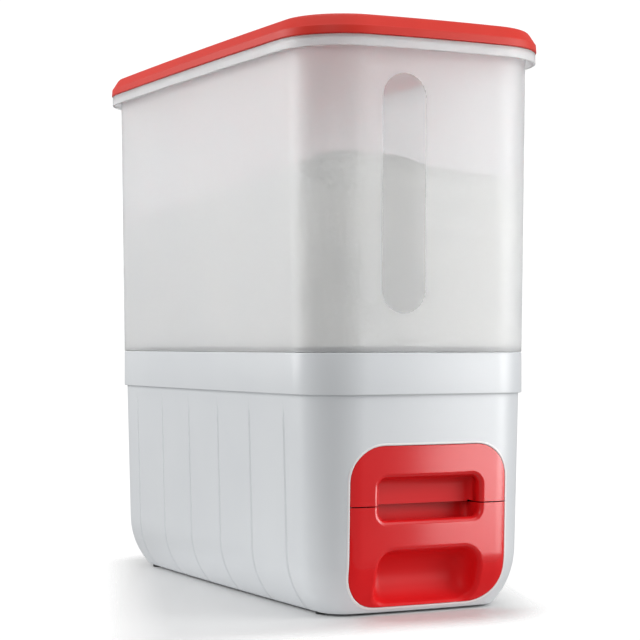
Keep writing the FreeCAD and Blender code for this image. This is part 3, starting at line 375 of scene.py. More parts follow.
outer_turn = turned_in(TURN_RADIUS, FLOOR)
inner_turn = turned_in(TURN_RADIUS - WALL, FLOOR + WALL)
foot_edge = soften(np.vstack([(outer_turn[0, 0] - 0.01, FLOOR), outer_turn[:2]]),
                   FOOT_ROUND)[BEND_STEPS:2 * BEND_STEPS]
outside = divide(np.vstack([outer_turn[1:], (-STEP, COLLAR)]), 0.006)
collar = soften([(-STEP, COLLAR - 0.001), (-STEP, COLLAR), (0, COLLAR), (0, COLLAR_TOP),
                 (-WALL, COLLAR_TOP), (-WALL, LEDGE), (-STEP - WALL, LEDGE),
                 (-STEP - WALL, COLLAR)],
                np.array([0.1, 0.3, 0.6, 0.8, 0.8, 0.3, 0.3, 0.3]) * 1e-3)[BEND_STEPS:-BEND_STEPS]
wall_section = np.vstack([foot_edge, outside[:-1], collar, divide(inner_turn[::-1], 0.02)])
base_section = to_middle(wall_section, (outer_turn[0, 0], FLOOR),
                         (inner_turn[0, 0], FLOOR + WALL), 8)
print("the foot stands in by",
      round(float(outer_turn[-1, 0] - outer_turn[0, 0]) * 1e3, 1), "mm")

# %% [markdown]
# Six shallow grooves run down each long side, stiffen it and follow the arc at its foot.
# They could be a bump in the material, but then they'd be missing from the outline and the
# mesh. So the loop gets extra points where they are, and the grid is pressed in along
# its own normal by a V whose depth falls to nothing at its two edges and at its top.

# %% Base with its grooves
GROOVE_PITCH, GROOVE_HALF, GROOVE_DEPTH = 0.0565, 0.0016, 0.0009
GROOVE_TOP, GROOVE_FADE = COLLAR - 0.013, 0.0015
ON_SIDE = 0.99  # a normal's x from which a place counts as on a long side
groove_middles = np.array([0.5, 1.5, 2.5]) * GROOVE_PITCH
groove_stops = (groove_middles[:, None] + np.linspace(-1.25, 1.25, 11) * GROOVE_HALF).ravel()
side_stops = np.unique(np.concatenate([np.linspace(0, SIDE_END, 18), groove_stops]).round(6))
base_points, base_normals = plan_loop(side_stops, end_steps=22)
base_grid, base_faces = carry(base_section, base_points, base_normals)


def press_grooves(grid):
    """Moves each place in along its own normal by depth times a V across the nearest groove's
    middle, times a ramp at the groove's upper end. The ends of the tub are left alone."""
    y, z = grid[..., 1], grid[..., 2]
    nearest = np.abs(np.abs(y)[..., None] - groove_middles).min(-1)
    hollow = np.clip(1 - nearest / GROOVE_HALF, 0, 1)
    depth = GROOVE_DEPTH * hollow * np.clip((GROOVE_TOP - z) / GROOVE_FADE, 0, 1)
    rows, under = np.arange(len(grid)), (len(base_section) - len(wall_section)) // 2
    on_wall = (rows > under) & (rows <= under + len(foot_edge) + len(outside) - 2)
    wanted = on_wall[:, None] & (np.abs(base_normals[:, 0]) > ON_SIDE)
    slope = np.gradient(base_section[:, :2], axis=0)
    slope /= np.maximum(np.linalg.norm(slope, axis=1, keepdims=True), 1e-9)
    push = np.where(wanted, depth, 0)
    grid[..., :2] -= (push * slope[:, 1, None])[..., None] * base_normals[None]
    grid[..., 2] += push * slope[:, 0, None]
    return grid


base_skin = closed_mesh("base_shell", press_grooves(base_grid), base_faces)
base_shell = add_piece(base_skin, "base", "base_housing")

# %% [markdown]
# ## The opening in the base
# The red front sits in a rounded opening with the same gap all round. Its outline is one
# rounded rectangle with its outward normals, so that the hole and the lip round it are the
# same line at other distances, as the plan loop is for the whole bin.

# %% Outline of the panel
PANEL_HALF, PANEL_LOW, PANEL_HIGH, PANEL_RADIUS = 0.062, 0.006, 0.119, 0.025
PANEL_GAP, BEAD_HALF, BEAD_HIGH, TOP_DROP = 0.00035, 0.0009, 0.0005, 0.00045
panel_level = (PANEL_HIGH + PANEL_LOW) / 2
base_face = np.vstack([turned_in(TURN_RADIUS, FLOOR, 90), (-STEP, COLLAR)])


def panel_outline(grow, steps=10, straight=14):
    """A rounded rectangle in x and z, `grow` outside the panel, with its outward normals."""
    angles = np.linspace(0, np.pi / 2, steps)
    arc = np.column_stack([np.cos(angles), np.sin(angles)])
    x, z = PANEL_HALF - PANEL_RADIUS, (PANEL_HIGH - PANEL_LOW) / 2 - PANEL_RADIUS
    normals = np.vstack([arc, arc[::-1] * (-1, 1), -arc, arc[::-1] * (1, -1)])
    centres = np.repeat([(x, z), (-x, z), (-x, -z), (x, -z)], steps, axis=0) + (0, panel_level)
    both = np.hstack([centres + (PANEL_RADIUS + grow) * normals, normals])
    ends = np.arange(steps - 1, 4 * steps, steps)
    runs = [np.linspace(both[e], both[(e + 1) % (4 * steps)], straight + 2)[1:-1] for e in ends]
    whole = np.vstack([np.vstack([both[e - steps + 1:e + 1], run]) for e, run in zip(ends, runs)])
    return whole[:, :2], whole[:, 2:]


print("the panel's outline has", len(panel_outline(0)[0]), "places")

# %% [markdown]
# The hole could be cut along the base's own grid, but then the grid would have to follow it.
# A cutter of the panel's outline, carried straight through the wall and closed at its
# middle, leaves the grid as it is.

# %% Cut the opening
bead_middle = PANEL_GAP + BEAD_HALF
cut_at, _ = panel_outline(bead_middle)
middle_of_cut = np.tile((0.0, panel_level), (len(cut_at), 1))
cut_away(base_shell, np.stack([np.insert(at, 1, y, axis=1)
                               for at, y in ((middle_of_cut, CUT_FROM), (cut_at, CUT_FROM),
                                             (cut_at, CUT_TO), (middle_of_cut, CUT_TO))]))

# %% [markdown]
# Behind the edge stands a return wall with a small round bead on its front, which is the
# light line seen all round the red panel. It is a section again, carried round the panel's
# outline instead of the plan loop, and it follows the base's bowed face in depth.

# %% Lip and return wall
ON_BEAD = 0.0015  # depth behind the face down to which the drop reaches


def opening_ring(section):
    """Carries a section of (offset outside the panel, depth behind the base's face) round the
    opening; a place's y is the face's y there plus its depth. Along the top, the bead comes
    lower by TOP_DROP, down to the flap's upper edge."""
    outline, normals = panel_outline(0)
    drop = TOP_DROP * np.clip(normals[:, 1] * 2 - 1, 0, 1) * (section[:, 1, None] < ON_BEAD)
    spread = outline[None] + (section[:, 0, None] - drop)[..., None] * normals[None]
    y = face_depth(spread[..., 0], spread[..., 1], base_face) + section[:, 1, None]
    return np.stack([spread[..., 0], y, spread[..., 1]], -1), ring_faces(*y.shape, closed=True)


over = np.linspace(0, np.pi, 11)
bead = np.column_stack([bead_middle + BEAD_HALF * np.cos(over), 0.0002 - BEAD_HIGH * np.sin(over)])
return_wall = [(PANEL_GAP, 0.0010), (0.0006, 0.0018), (0.0006, 0.0026), (0.0006, 0.0110),
               (0.0032, 0.0110), (0.0032, 0.0020)]
lip_section = np.vstack([[(bead_middle + BEAD_HALF, 0.0008)], bead, return_wall])
lip_skin = closed_mesh("opening_lip", *opening_ring(lip_section))
opening_lip = add_piece(lip_skin, "base", sharp=50)

# %% [markdown]
# ## The inner parts
# The tray, the hopper and the drawer's guide are plain mouldings that the solids already hold
# exactly. Here the solid's own mesh is copied, its loose triangles are joined, and its
# normals are weighted by face size, so that flat faces stay flat and roundings look round.


# %% Copies of the solids
def dressed_copy(name, body):
    """A joined, smooth-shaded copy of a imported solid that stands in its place."""
    mesh = nodes[name].data.copy()
    mesh.name = f"{name}_skin"
    work = bmesh.new()
    work.from_mesh(mesh)
    bmesh.ops.remove_doubles(work, verts=work.verts, dist=FINELY_JOINED)
    work.to_mesh(mesh)
    work.free()
    mesh.materials.clear()
    return add_piece(mesh, body, name, sharp=30)


tray_skin = dressed_copy("drawer_tray", "drawer")
hopper_skin = dressed_copy("hopper", "base")
guide_skin = dressed_copy("drawer_guide", "base")
for piece in (tray_skin, hopper_skin, guide_skin):
    weighted = piece.modifiers.new("weighted", "WEIGHTED_NORMAL")
    weighted.keep_sharp = True

# %% [markdown]
# ## The red front
# The drawer front and the flap are copies too. They are glossy, so their reflections show
# every wrong normal. Their face is the same surface as the base's, y = F(x, z), and the true
# normal of that surface is (Fx, -1, Fz). Every face corner that lies on it takes that
# normal, and the rest keep their own.

# %% True normals for the red front
ON_FACE, AGREEING = 3e-5, np.cos(np.radians(25))


def read(items, field, width, kind=float):
    """One field of a mesh's vertices, corners or faces as an array, a row to each."""
    values = np.empty(len(items) * width, dtype=kind)
    items.foreach_get(field, values)
    return values.reshape(-1, width) if width > 1 else values


def true_normals(mesh, line, step=1e-4):
    """Sets the corner normals on the surface y = F(x, z) to (Fx, -1, Fz), scaled to one. The
    slopes are central differences over `step`."""
    x, y, z = read(mesh.vertices, "co", 3).T
    along_x = (face_depth(x + step, z, line) - face_depth(x - step, z, line)) / (2 * step)
    along_z = (face_depth(x, z + step, line) - face_depth(x, z - step, line)) / (2 * step)
    true = np.column_stack([along_x, -np.ones_like(x), along_z])
    true /= np.linalg.norm(true, axis=1, keepdims=True)
    corners = read(mesh.loops, "vertex_index", 1, int)
    flat = np.repeat(read(mesh.polygons, "normal", 3),
                     read(mesh.polygons, "loop_total", 1, int), axis=0)
    on_face = (np.abs(y - face_depth(x, z, line)) < ON_FACE)[corners]
    chosen = on_face & ((flat * true[corners]).sum(1) > AGREEING)
    own = read(mesh.corner_normals, "vector", 3)
    mesh.normals_split_custom_set(np.where(chosen[:, None], true[corners], own).tolist())
    print(mesh.name, int(chosen.sum()), "of", len(corners), "corners on the face")


drawer_skin = dressed_copy("drawer_front", "drawer")
flap_skin = dressed_copy("flap", "flap")
for piece in (drawer_skin, flap_skin):
    true_normals(piece.data, base_face)

# %% [markdown]
# ## The rice
# The bin is shown in use, so a heap of rice lies behind the frosted wall. It is not part of
# the bin: it is staged, as the floor is. Its side stays half a millimetre inside the
# container's wall, and its top falls from the front towards the back, as the top of rice
# does that was poured in at the front.

# %% Rice
RICE_FLOOR, RICE_CLEAR = 0.1875, 0.0005
inner_face = np.array(container_corners[13:11:-1])
heap_y = np.array([-0.205, -0.184, -0.163, -0.119, -0.072, -0.011, 0.0565, 0.126, 0.169, 0.205])
heap_z = np.array([0.3185, 0.3165, 0.3140, 0.3073, 0.3047, 0.3017, 0.2985, 0.2904, 0.2803, 0.2700])
heap_x = np.array([-0.095, -0.070, -0.030, -0.010, 0.043, 0.064, 0.095])
tilt_z = np.array([0.0, 0.0035, 0.0020, -0.0040, -0.0085, -0.0100, -0.0120])


def heap(x, y):
    """Height of the rice: a line along y plus a tilt along x, with low waves on top."""
    waves = 0.0008 * np.sin(70 * x + 20 * y) * np.sin(55 * y - 30 * x) + 0.0005 * np.sin(160 * y)
    return np.interp(y, heap_y, heap_z) + np.interp(x, heap_x, tilt_z) + waves


def rice_heap(steps=12, rings=18):
    """Side rows rise up the wall to the heap's height there; top rows shrink to the middle."""
    rise = np.linspace(0, 1, steps)[:, None]
    wall = plain_points[None] + inner_face[0, 0] * plain_normals[None]
    z = RICE_FLOOR + rise * (heap(wall[..., 0], wall[..., 1]) - RICE_FLOOR)
    offset = np.interp(z, inner_face[:, 1], inner_face[:, 0]) - RICE_CLEAR
    side = np.concatenate([plain_points[None] + offset[..., None] * plain_normals[None],
                           z[..., None]], 2)
    top = side[-1:, :, :2] * np.linspace(1, 0, rings)[1:, None, None]
    top = np.concatenate([top, heap(top[..., 0], top[..., 1])[..., None]], 2)
    return np.concatenate([side, top])


def staged(name, places):
    """A grid of rings as a mesh that isn't part of the object."""
    mesh = bpy.data.meshes.new(name)
    mesh.from_pydata(places.reshape(-1, 3).tolist(), [], ring_faces(*places.shape[:2]).tolist())
    thing = set_up(name, mesh)
    print(name, "has", len(mesh.polygons), "faces")
    return thing


rice = staged("rice", rice_heap())
rice.data.shade_smooth()

# %% [markdown]
# ## Materials
# Every moulded part has a faint grain from the mould, slow changes of tone, and marks of
# use. An image could carry them, but it would have to be wrapped round each piece. Noise in
# object coordinates runs through all of them at one scale. Those effects are node groups,
# built once, and each material gives them its values.


# %% Helpers for nodes
def put(tree, kind, second=None, **given):
    """Adds a shader node. `second` goes into its input 1, a name that the node
    has as a property is set there, and the rest are inputs."""
    node = tree.nodes.new("ShaderNode" + kind)
    if second is not None:
        node.inputs[1].default_value = second
    for name, value in given.items():
        if hasattr(node, name):
            setattr(node, name, value)
        else:
            node.inputs[name.replace("_", " ")].default_value = value
    return node


def wire(tree, *links):
    """Makes links, each given as a node, its output, a node and its input."""
    for start, output, end, entry in links:
        tree.links.new(start.outputs[output], end.inputs[entry])


def new_group(name, inputs, outputs):
    """An empty shader group with float inputs {name: default} and named float outputs."""
    tree = bpy.data.node_groups.new(name, "ShaderNodeTree")
    for title, default in inputs.items():
        socket = tree.interface.new_socket(title, in_out="INPUT", socket_type="NodeSocketFloat")
        socket.default_value = default
    for title in outputs:
        tree.interface.new_socket(title, in_out="OUTPUT", socket_type="NodeSocketFloat")
    print("group", name, "gives", *outputs)
    return tree, tree.nodes.new("NodeGroupInput"), tree.nodes.new("NodeGroupOutput")


def new_material(name, **sockets):
    """A material with its tree and its Principled BSDF, whose inputs get the values given."""
    material = bpy.data.materials.new(name)
    material.use_nodes = True
    shader = material.node_tree.nodes["Principled BSDF"]
    for title, value in sockets.items():
        shader.inputs[title.replace("_", " ")].default_value = value
    return material, material.node_tree, shader


def two_tones(tree, low, high, span=(0.0, 1.0)):
    """A ramp from one colour to another over a span of its input."""
    ramp = put(tree, "ValToRGB")
    for element, colour, place in zip(ramp.color_ramp.elements, (low, high), span):
        element.color, element.position = (*colour, 1), place
    return ramp


# %% [markdown]
# Sparks leave a fine, even grain in a mould, and each part comes out with it. Fine noise
# stands for that grain, and slow noise for the way that colour and gloss drift over a part.

# %% Mould grain
grain, given, made = new_group("mould_grain", {"Scale": 900.0, "Mottle Scale": 14.0},
                               ["Height", "Mottle"])
place = put(grain, "TexCoord")
fine = put(grain, "TexNoise", Detail=3.0, Roughness=0.6)
slow = put(grain, "TexNoise", Detail=4.0, Roughness=0.55)
wire(grain, (place, "Object", fine, "Vector"), (place, "Object", slow, "Vector"),
     (given, "Scale", fine, "Scale"), (given, "Mottle Scale", slow, "Scale"),
     (fine, "Fac", made, "Height"), (slow, "Fac", made, "Mottle"))

# %% [markdown]
# Handling leaves thin, short scratches here and there. The borders of stretched cells are
# such lines, and a patchy noise keeps only some of them, so that no net of cells shows.

# %% Fine scratches
scratches, given, made = new_group("fine_scratches", {"Scale": 60.0, "Amount": 0.5}, ["Mask"])
place = put(scratches, "TexCoord")
turned = put(scratches, "Mapping", Rotation=(0.3, 0.5, 0.9), Scale=(1.0, 1.0, 14.0))
cells = put(scratches, "TexVoronoi", feature="DISTANCE_TO_EDGE")
thin = put(scratches, "MapRange", From_Max=0.012, To_Min=1.0, To_Max=0.0)
patch = put(scratches, "TexNoise", Scale=22.0, Detail=2.0)
patchy = put(scratches, "MapRange", From_Min=0.52, From_Max=0.66)
both, scaled = (put(scratches, "Math", operation="MULTIPLY") for _ in range(2))
wire(scratches, (place, "Object", turned, "Vector"), (turned, "Vector", cells, "Vector"),
     (given, "Scale", cells, "Scale"), (cells, "Distance", thin, "Value"),
     (place, "Object", patch, "Vector"), (patch, "Fac", patchy, "Value"),
     (thin, "Result", both, 0), (patchy, "Result", both, 1), (both, 0, scaled, 0),
     (given, "Amount", scaled, 1), (scaled, 0, made, "Mask"))

# %% [markdown]
# Flour and dust settle on what faces up, in specks that drift together. The mask is the
# upward part of the normal times a fine speckle times a slow drift, so the lid's top gets
# most and upright walls stay clean.

# %% Settled dust
dust, given, made = new_group("settled_dust", {"Amount": 0.5}, ["Mask"])
facing = put(dust, "NewGeometry")
split = put(dust, "SeparateXYZ")
upward = put(dust, "MapRange", From_Min=0.55, From_Max=1.0)
place = put(dust, "TexCoord")
specks = put(dust, "TexNoise", Scale=420.0, Detail=3.0)
drift = put(dust, "TexNoise", Scale=18.0, Detail=2.0)
speckled = put(dust, "MapRange", From_Min=0.48, From_Max=0.75)
lying, drifted, scaled = (put(dust, "Math", operation="MULTIPLY") for _ in range(3))
wire(dust, (facing, "Normal", split, "Vector"), (split, "Z", upward, "Value"),
     (place, "Object", specks, "Vector"), (place, "Object", drift, "Vector"),
     (specks, "Fac", speckled, "Value"), (speckled, "Result", lying, 0),
     (upward, "Result", lying, 1), (lying, 0, drifted, 0), (drift, "Fac", drifted, 1),
     (drifted, 0, scaled, 0), (given, "Amount", scaled, 1), (scaled, 0, made, "Mask"))

# %% [markdown]
# The level strip is polished in the mould, so it is clear where the wall round it is
# frosted. A mask gives one inside the slot and nought outside it: the distance from the
# slot's middle line, compared with its half width, on the front side only.

# %% Mask of the clear strip
strip, _, made = new_group("clear_strip", {}, ["Mask"])
place = put(strip, "TexCoord")
split = put(strip, "SeparateXYZ")
sideways = put(strip, "Math", STRIP_X, operation="SUBTRACT")
nearest = put(strip, "Clamp", Min=STRIP_LOW + STRIP_HALF, Max=STRIP_HIGH - STRIP_HALF)
upright = put(strip, "Math", operation="SUBTRACT")
from_line = put(strip, "CombineXYZ")
distance = put(strip, "VectorMath", operation="LENGTH")
inside = put(strip, "MapRange", From_Min=STRIP_HALF + 0.0001, From_Max=STRIP_HALF - 0.0003)
in_front = put(strip, "Math", CUT_TO, operation="LESS_THAN")
both = put(strip, "Math", operation="MULTIPLY")
wire(strip, (place, "Object", split, "Vector"), (split, "X", sideways, 0),
     (split, "Z", nearest, "Value"), (split, "Z", upright, 0),
     (nearest, "Result", upright, 1), (sideways, 0, from_line, "X"),
     (upright, 0, from_line, "Z"), (from_line, "Vector", distance, 0),
     (distance, "Value", inside, "Value"), (split, "Y", in_front, 0),
     (inside, "Result", both, 0), (in_front, 0, both, 1), (both, 0, made, "Mask"))

# %% [markdown]
# One recipe serves all the plastics. The mottle moves the colour and the gloss a little, the
# scratches and the dust roughen it, and the grain and the scratches stand in the normal.

# %% One plastic, many parts
DUST = (0.72, 0.70, 0.67, 1)
DULL = 0.8  # how much full dust adds to the roughness
SWAY = 0.03  # how far the mottle moves the roughness each way
MOTTLE = (0.3, 0.7)  # span of the slow noise over which tones change


def plastic(name, colour, deep, rough, grain_scale, grain_depth, marks, dustiness, **sockets):
    """Principled plastic. Colour runs from `deep` to `colour` with the mottle and pales with
    dust, roughness adds mottle, scratches and dust, and the normal takes grain and scratches."""
    material, tree, shader = new_material(name, **sockets)
    skin = put(tree, "Group", node_tree=grain, Scale=grain_scale)
    worn = put(tree, "Group", node_tree=scratches, Amount=marks)
    dusty = put(tree, "Group", node_tree=dust, Amount=dustiness)
    paler = put(tree, "Mix", data_type="RGBA")
    paler.inputs[7].default_value = DUST
    dulled = put(tree, "Math", DULL, operation="MULTIPLY_ADD")
    tone = two_tones(tree, deep, colour, MOTTLE)
    gloss = put(tree, "MapRange", From_Min=MOTTLE[0], From_Max=MOTTLE[1],
                To_Min=rough - SWAY, To_Max=rough + SWAY)
    rougher = put(tree, "Math", operation="ADD")
    height = put(tree, "Math", operation="SUBTRACT")
    bump = put(tree, "Bump", Strength=1.0, Distance=grain_depth)
    wire(tree, (skin, "Mottle", tone, "Fac"), (tone, "Color", paler, 6),
         (dusty, "Mask", paler, 0), (paler, 2, shader, "Base Color"),
         (skin, "Mottle", gloss, "Value"), (gloss, "Result", rougher, 0),
         (worn, "Mask", rougher, 1), (dusty, "Mask", dulled, 0), (rougher, 0, dulled, 2),
         (dulled, 0, shader, "Roughness"), (skin, "Height", height, 0),
         (worn, "Mask", height, 1), (height, 0, bump, "Height"),
         (bump, "Normal", shader, "Normal"))
    print("material", name, "roughness", rough)
    return material


# %% [markdown]
# The lid is satin and the drawer glossy, as lids and drawers of such bins are. The base is
# a cool white with a soft gloss. Its bead is the same plastic, but its colour is painted a
# little brighter and faintly pink: a painted highlight for the light that it catches all round,
# with a painted reflection of the red front. Inside, the white is duller, and the feet are
# rubber with a coarse, dusty skin.

# %% The plastics
RED, DEEP_RED = (0.80, 0.011, 0.014), (0.76, 0.009, 0.012)
red_lid = plastic("red_lid", (0.74, 0.036, 0.021), (0.70, 0.029, 0.017), 0.45, 700, 4e-5,
                  0.10, 0.15, Specular_IOR_Level=0.28)
red_front = plastic("red_drawer", RED, DEEP_RED, 0.19, 260, 2e-5, 0.08, 0.03)
white_base = plastic("white_base", (0.78, 0.805, 0.825), (0.76, 0.785, 0.81), 0.33, 800, 3e-5,
                     0.08, 0.2)
# The bead's paler, pinkish white is a painted highlight and a painted reflection of the red front,
# not a colour of its own.
white_bead_painted_highlight = plastic("white_bead_painted_highlight", (0.95, 0.93, 0.925), (0.92, 0.90, 0.90), 0.30, 800, 1e-5,
                     0.05, 0.05)
white_inner = plastic("white_inner", (0.80, 0.81, 0.82), (0.77, 0.78, 0.80), 0.45, 700, 4e-5,
                      0.08, 0.2)
rubber = plastic("rubber_foot", (0.035, 0.035, 0.036), (0.02, 0.02, 0.021), 0.8, 1500, 1e-4,
                 0.1, 0.3)

# %% [markdown]
# Only the outer face of the red front is polished in the mould. Its recesses are left satin,
# so they stay deep red while the face shines. The face lies on an arc seen from above, so a
# point's distance from the middle of that arc tells how far it has sunk behind the face.

# %% Satin recesses
RECESS_FROM = 0.006
red_recess = plastic("red_recess", RED, DEEP_RED, 0.42, 260, 2e-5, 0.08, 0.03,
                     Specular_IOR_Level=0.15)


def satin_recesses(piece):
    """Gives the second material to the faces more than RECESS_FROM inside the front's arc."""
    mesh = piece.data
    mesh.materials.append(red_recess)
    x, y, _ = read(mesh.polygons, "center", 3).T
    sunk = end_arc - np.hypot(x, y - end_middle) > RECESS_FROM
    mesh.polygons.foreach_set("material_index", sunk.astype(np.int32))
    print(piece.name, int(sunk.sum()), "of", len(sunk), "faces are satin")


# %% [markdown]
# The frosted wall lets most light through but scatters it, so it is a rough transmitting
# plastic. In the strip it is nearly smooth, and the rice behind it is seen clearly. Both are
# one moulding, so they are one material, and the strip's mask only takes roughness away.

# %% Frosted and clear plastic
POLISHED = 0.08  # the share of the frosted roughness that the strip keeps
frosted = plastic("frosted_container", (0.975, 0.98, 0.985), (0.955, 0.965, 0.975), 0.46, 900,
                  3e-5, 0.05, 0.1, Transmission_Weight=0.7)
tree = frosted.node_tree
shader = tree.nodes["Principled BSDF"]
mask = put(tree, "Group", node_tree=strip)
polished = put(tree, "MapRange", To_Min=1.0, To_Max=POLISHED)
cleared = put(tree, "Math", operation="MULTIPLY")
frost = shader.inputs["Roughness"].links[0].from_node
wire(tree, (mask, "Mask", polished, "Value"), (frost, 0, cleared, 0),
     (polished, "Result", cleared, 1), (cleared, 0, shader, "Roughness"))
print("the strip keeps", POLISHED, "of the wall's roughness")

# %% [markdown]
# The hinge pins are drawn wire, and fine lines run along them. One noise, stretched along
# x, makes those lines: it moves the tone, the roughness and the normal together.

# %% Drawn steel
steel, tree, shader = new_material("steel_pin", Metallic=1.0)
place = put(tree, "TexCoord")
drawn = put(tree, "Mapping", Scale=(60.0, 2600.0, 2600.0))
lines = put(tree, "TexNoise", Scale=1.0, Detail=4.0)
tone = two_tones(tree, (0.42, 0.42, 0.43), (0.66, 0.66, 0.67))
gloss = put(tree, "MapRange", To_Min=0.22, To_Max=0.42)
bump = put(tree, "Bump", Strength=0.6, Distance=1e-5)
wire(tree, (place, "Object", drawn, "Vector"), (drawn, "Vector", lines, "Vector"),
     (lines, "Fac", tone, "Fac"), (tone, "Color", shader, "Base Color"),
     (lines, "Fac", gloss, "Value"), (gloss, "Result", shader, "Roughness"),
     (lines, "Fac", bump, "Height"), (bump, "Normal", shader, "Normal"))
print("material", steel.name)

# %% [markdown]
# Rice lies in a jumble of pale grains. Thousands of grains could be scattered, but behind a
# frosted wall only their mottle shows. A cell pattern, bent by noise, gives each grain its
# own tone and a dark seam round it, which is painted shade where the grains shadow each
# other, and the seams press into the normal.

# %% Rice grains
GRAIN_SCALE, GRAIN_BEND = 330.0, 0.006
rice_paint, tree, shader = new_material("rice", Roughness=0.5)
place = put(tree, "TexCoord")
jumble = put(tree, "TexNoise", Scale=130.0, Detail=1.0)
bent = put(tree, "VectorMath", (GRAIN_BEND,) * 3, operation="MULTIPLY_ADD")
cells = put(tree, "TexVoronoi", Scale=GRAIN_SCALE)
seams = put(tree, "TexVoronoi", Scale=GRAIN_SCALE, feature="DISTANCE_TO_EDGE")
grey = put(tree, "SeparateColor")
tone = two_tones(tree, (0.76, 0.735, 0.68), (0.92, 0.90, 0.85))
seam = put(tree, "MapRange", From_Max=0.14)
# The dark seam colour mixed in here is painted shade in the gaps between grains.
painted_seam_shade = put(tree, "Mix", data_type="RGBA")
painted_seam_shade.inputs[6].default_value = (0.46, 0.43, 0.37, 1)
bump = put(tree, "Bump", Strength=0.8, Distance=0.001)
wire(tree, (place, "Object", jumble, "Vector"), (jumble, "Color", bent, 0),
     (place, "Object", bent, 2), (bent, "Vector", cells, "Vector"),
     (bent, "Vector", seams, "Vector"), (cells, "Color", grey, "Color"),
     (grey, "Red", tone, "Fac"), (seams, "Distance", seam, "Value"),
     (seam, "Result", painted_seam_shade, 0), (tone, "Color", painted_seam_shade, 7), (painted_seam_shade, 2, shader, "Base Color"),
     (seam, "Result", bump, "Height"), (bump, "Normal", shader, "Normal"))
rice.data.materials.append(rice_paint)
print("material", rice_paint.name)

# %% [markdown]
# Each piece now gets its finish. The solids that still show are the feet and the hinge pins.

# %% Materials onto the pieces
for piece, material, finish in (
        (lid, red_lid, "red_lid"), (container, frosted, "frosted_container"),
        (base_shell, white_base, "white_base"), (opening_lip, white_bead_painted_highlight, "white_base"),
        (drawer_skin, red_front, "red_drawer"), (flap_skin, red_front, "red_drawer"),
        (tray_skin, white_inner, "white_inner"), (hopper_skin, white_inner, "white_inner"),
        (guide_skin, white_inner, "white_inner")):
    piece.data.materials.clear()
    piece.data.materials.append(material)
satin_recesses(drawer_skin)
satin_recesses(flap_skin)
for name, node in nodes.items():
    node.data.materials.clear()
    node.data.materials.append(rubber if name.startswith("foot") else steel)
print(len(bpy.data.materials), "materials")

# %% [markdown]
# ## Floor, light and camera
# The bin stands on a plain pale floor that runs out into white, so nothing but the bin is
# looked at. A horizon would draw a line behind it. So the floor is a flat disc that turns
# see-through a few centimetres from the bin, where the white backdrop takes over. The edge
# of the fade is slanted, so that it runs beside the bin towards the viewer.


# %% Floor
def floor_grid(radius=1.6, rings=24, spokes=72):
    """A flat disc: radius times (cos a, sin a) at height 0."""
    r, a = np.meshgrid(np.linspace(0.001, radius, rings),
                       np.linspace(0, 2 * np.pi, spokes, endpoint=False), indexing="ij")
    return np.stack([r * np.cos(a), r * np.sin(a), np.zeros_like(r)], -1)


SLANT, SOLID_HALVES, FADE_FROM, FADE_TO = 0.37, (0.105, 0.19, 0.0), 0.01, 0.08
floor = staged("floor", floor_grid())
floor_paint, tree, paint = new_material("floor", Base_Color=(0.82, 0.82, 0.82, 1),
                                        Roughness=0.3, Specular_IOR_Level=0.2)
over_x, over_y = (put(tree, "VectorMath", axis, operation="DOT_PRODUCT")
                  for axis in ((1.0, -SLANT, 0.0), (0.0, 1.0, 0.0)))
slanted = put(tree, "CombineXYZ")
mirrored, outside_only, away = (put(tree, "VectorMath", operation=step)
                                for step in ("ABSOLUTE", "MAXIMUM", "LENGTH"))
past_solid = put(tree, "VectorMath", SOLID_HALVES, operation="SUBTRACT")
fade = put(tree, "MapRange", From_Min=FADE_FROM, From_Max=FADE_TO,
           interpolation_type="SMOOTHSTEP")
clear = put(tree, "BsdfTransparent")
mixed = put(tree, "MixShader")
place = put(tree, "TexCoord")
wire(tree, (place, "Object", over_x, 0), (place, "Object", over_y, 0),
     (over_x, "Value", slanted, "X"), (over_y, "Value", slanted, "Y"),
     (slanted, "Vector", mirrored, 0), (mirrored, "Vector", past_solid, 0),
     (past_solid, "Vector", outside_only, 0), (outside_only, "Vector", away, 0),
     (away, "Value", fade, "Value"), (fade, "Result", mixed, "Fac"), (paint, "BSDF", mixed, 1),
     (clear, "BSDF", mixed, 2), (mixed, "Shader", tree.nodes["Material Output"], "Surface"))
floor.data.materials.append(floor_paint)
print("the floor fades from", FADE_FROM, "to", FADE_TO, "m outside")

# %% [markdown]
# In a studio, white plastic is lit with large soft boxes and the backdrop burns out. The
# world is a weak grey light from all round. To the eye, and through the frosted wall, it is
# white instead, because a backdrop behind the bin is lit by itself.

# %% Backdrop
SOFT_LIGHT, WHITE_BACKDROP = 0.34, 1.08
world = bpy.data.worlds.new("studio")
world.use_nodes = True
tree = world.node_tree
soft = tree.nodes["Background"]
bright = put(tree, "Background")
for background, strength in ((soft, SOFT_LIGHT), (bright, WHITE_BACKDROP)):
    background.inputs["Color"].default_value = (1, 1, 1, 1)
    background.inputs["Strength"].default_value = strength
rays = put(tree, "LightPath")
seen = put(tree, "MixShader")
either = put(tree, "Math", operation="MAXIMUM")
wire(tree, (rays, "Is Camera Ray", either, 0), (rays, "Is Transmission Ray", either, 1),
     (either, 0, seen, "Fac"), (soft, "Background", seen, 1), (bright, "Background", seen, 2),
     (seen, "Shader", tree.nodes["World Output"], "Surface"))
bpy.context.scene.world = world
bpy.context.scene.view_settings.view_transform = "Standard"
print("world:", SOFT_LIGHT, "as light,", WHITE_BACKDROP, "as backdrop")

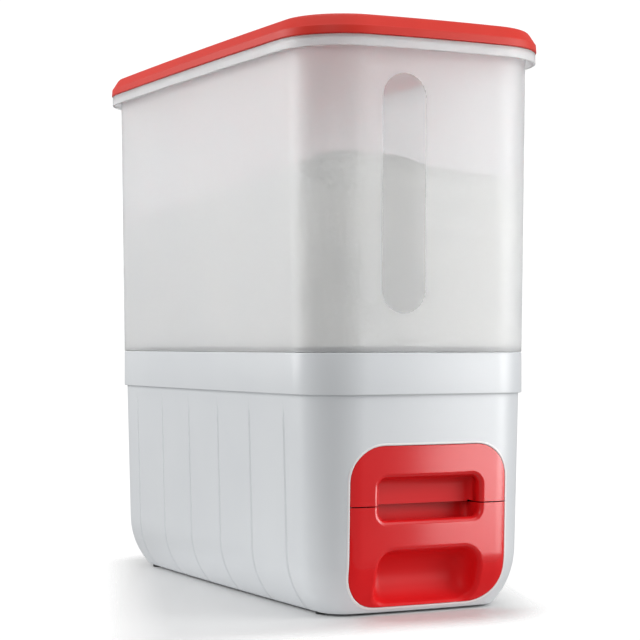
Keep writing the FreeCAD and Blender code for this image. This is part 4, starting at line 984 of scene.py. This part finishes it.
# %% [markdown]
# The main light comes from a wall of soft boxes on the right, so the bowed front grades from
# light to dark and the near corner turns. A low box beside it is only reflected: it draws
# the sheen on the red front. Weaker boxes lift the left side, the front and the top.


# %% Lamps
def softbox(name, place, target, size, power):
    """A rectangular area lamp at `place` that faces `target`."""
    data = bpy.data.lights.new(name, "AREA")
    data.shape = "RECTANGLE"
    data.size, data.size_y = size
    data.energy = power
    lamp = set_up(name, data)
    lamp.location = place
    lamp.rotation_euler = (Vector(target) - Vector(place)).to_track_quat("-Z", "Y").to_euler()
    print(name, power, "W")
    return lamp


softbox("right_wall_softbox", (1.905, -1.300, 0.60), (0, 0, 0.2), (1.3, 1.6), 27)
sheen_lamp = softbox("low_strip_softbox", (1.583, -1.728, 0.15), (0, 0, 0.05), (1.26, 1.0), 24)
sheen_lamp.visible_diffuse = False
softbox("high_softbox", (1.090, -1.500, 1.85), (0, 0, 0.15), (1.6, 1.6), 12)
softbox("left_softbox", (-1.3, 1.0, 0.7), (0, 0, 0.2), (0.9, 1.2), 16)
softbox("front_fill_softbox", (-1.6, -1.6, 1.2), (0, 0, 0.2), (1.0, 1.0), 9)
softbox("top_softbox", (0.0, 0.2, 2.0), (0, 0, 0.2), (1.4, 1.4), 10)

# %% [markdown]
# The view is from the left of the front and a little below the middle of the bin, with a
# long lens, so that its upright edges stay upright. Place, bearing and focal length belong
# together: a nearer camera with a shorter lens would spread the near corner.

# %% Camera
IMAGE_WIDTH, SENSOR_WIDTH = 640, 36.0


def aim(origin, bearing, pitch, focal):
    """A camera at `origin`, with bearing and pitch in degrees and a focal length in pixels of
    the rendered image."""
    data = bpy.data.cameras.new("view")
    data.sensor_width = SENSOR_WIDTH
    data.lens = focal / IMAGE_WIDTH * data.sensor_width
    camera = set_up("view", data)
    camera.location = origin
    camera.rotation_euler = (np.radians(90 + pitch), 0, np.radians(bearing))
    bpy.context.scene.camera = camera
    print("lens of", round(data.lens, 1), "mm")


aim((-0.650, -1.313, 0.1893), -26.74, 0.73, 1849)
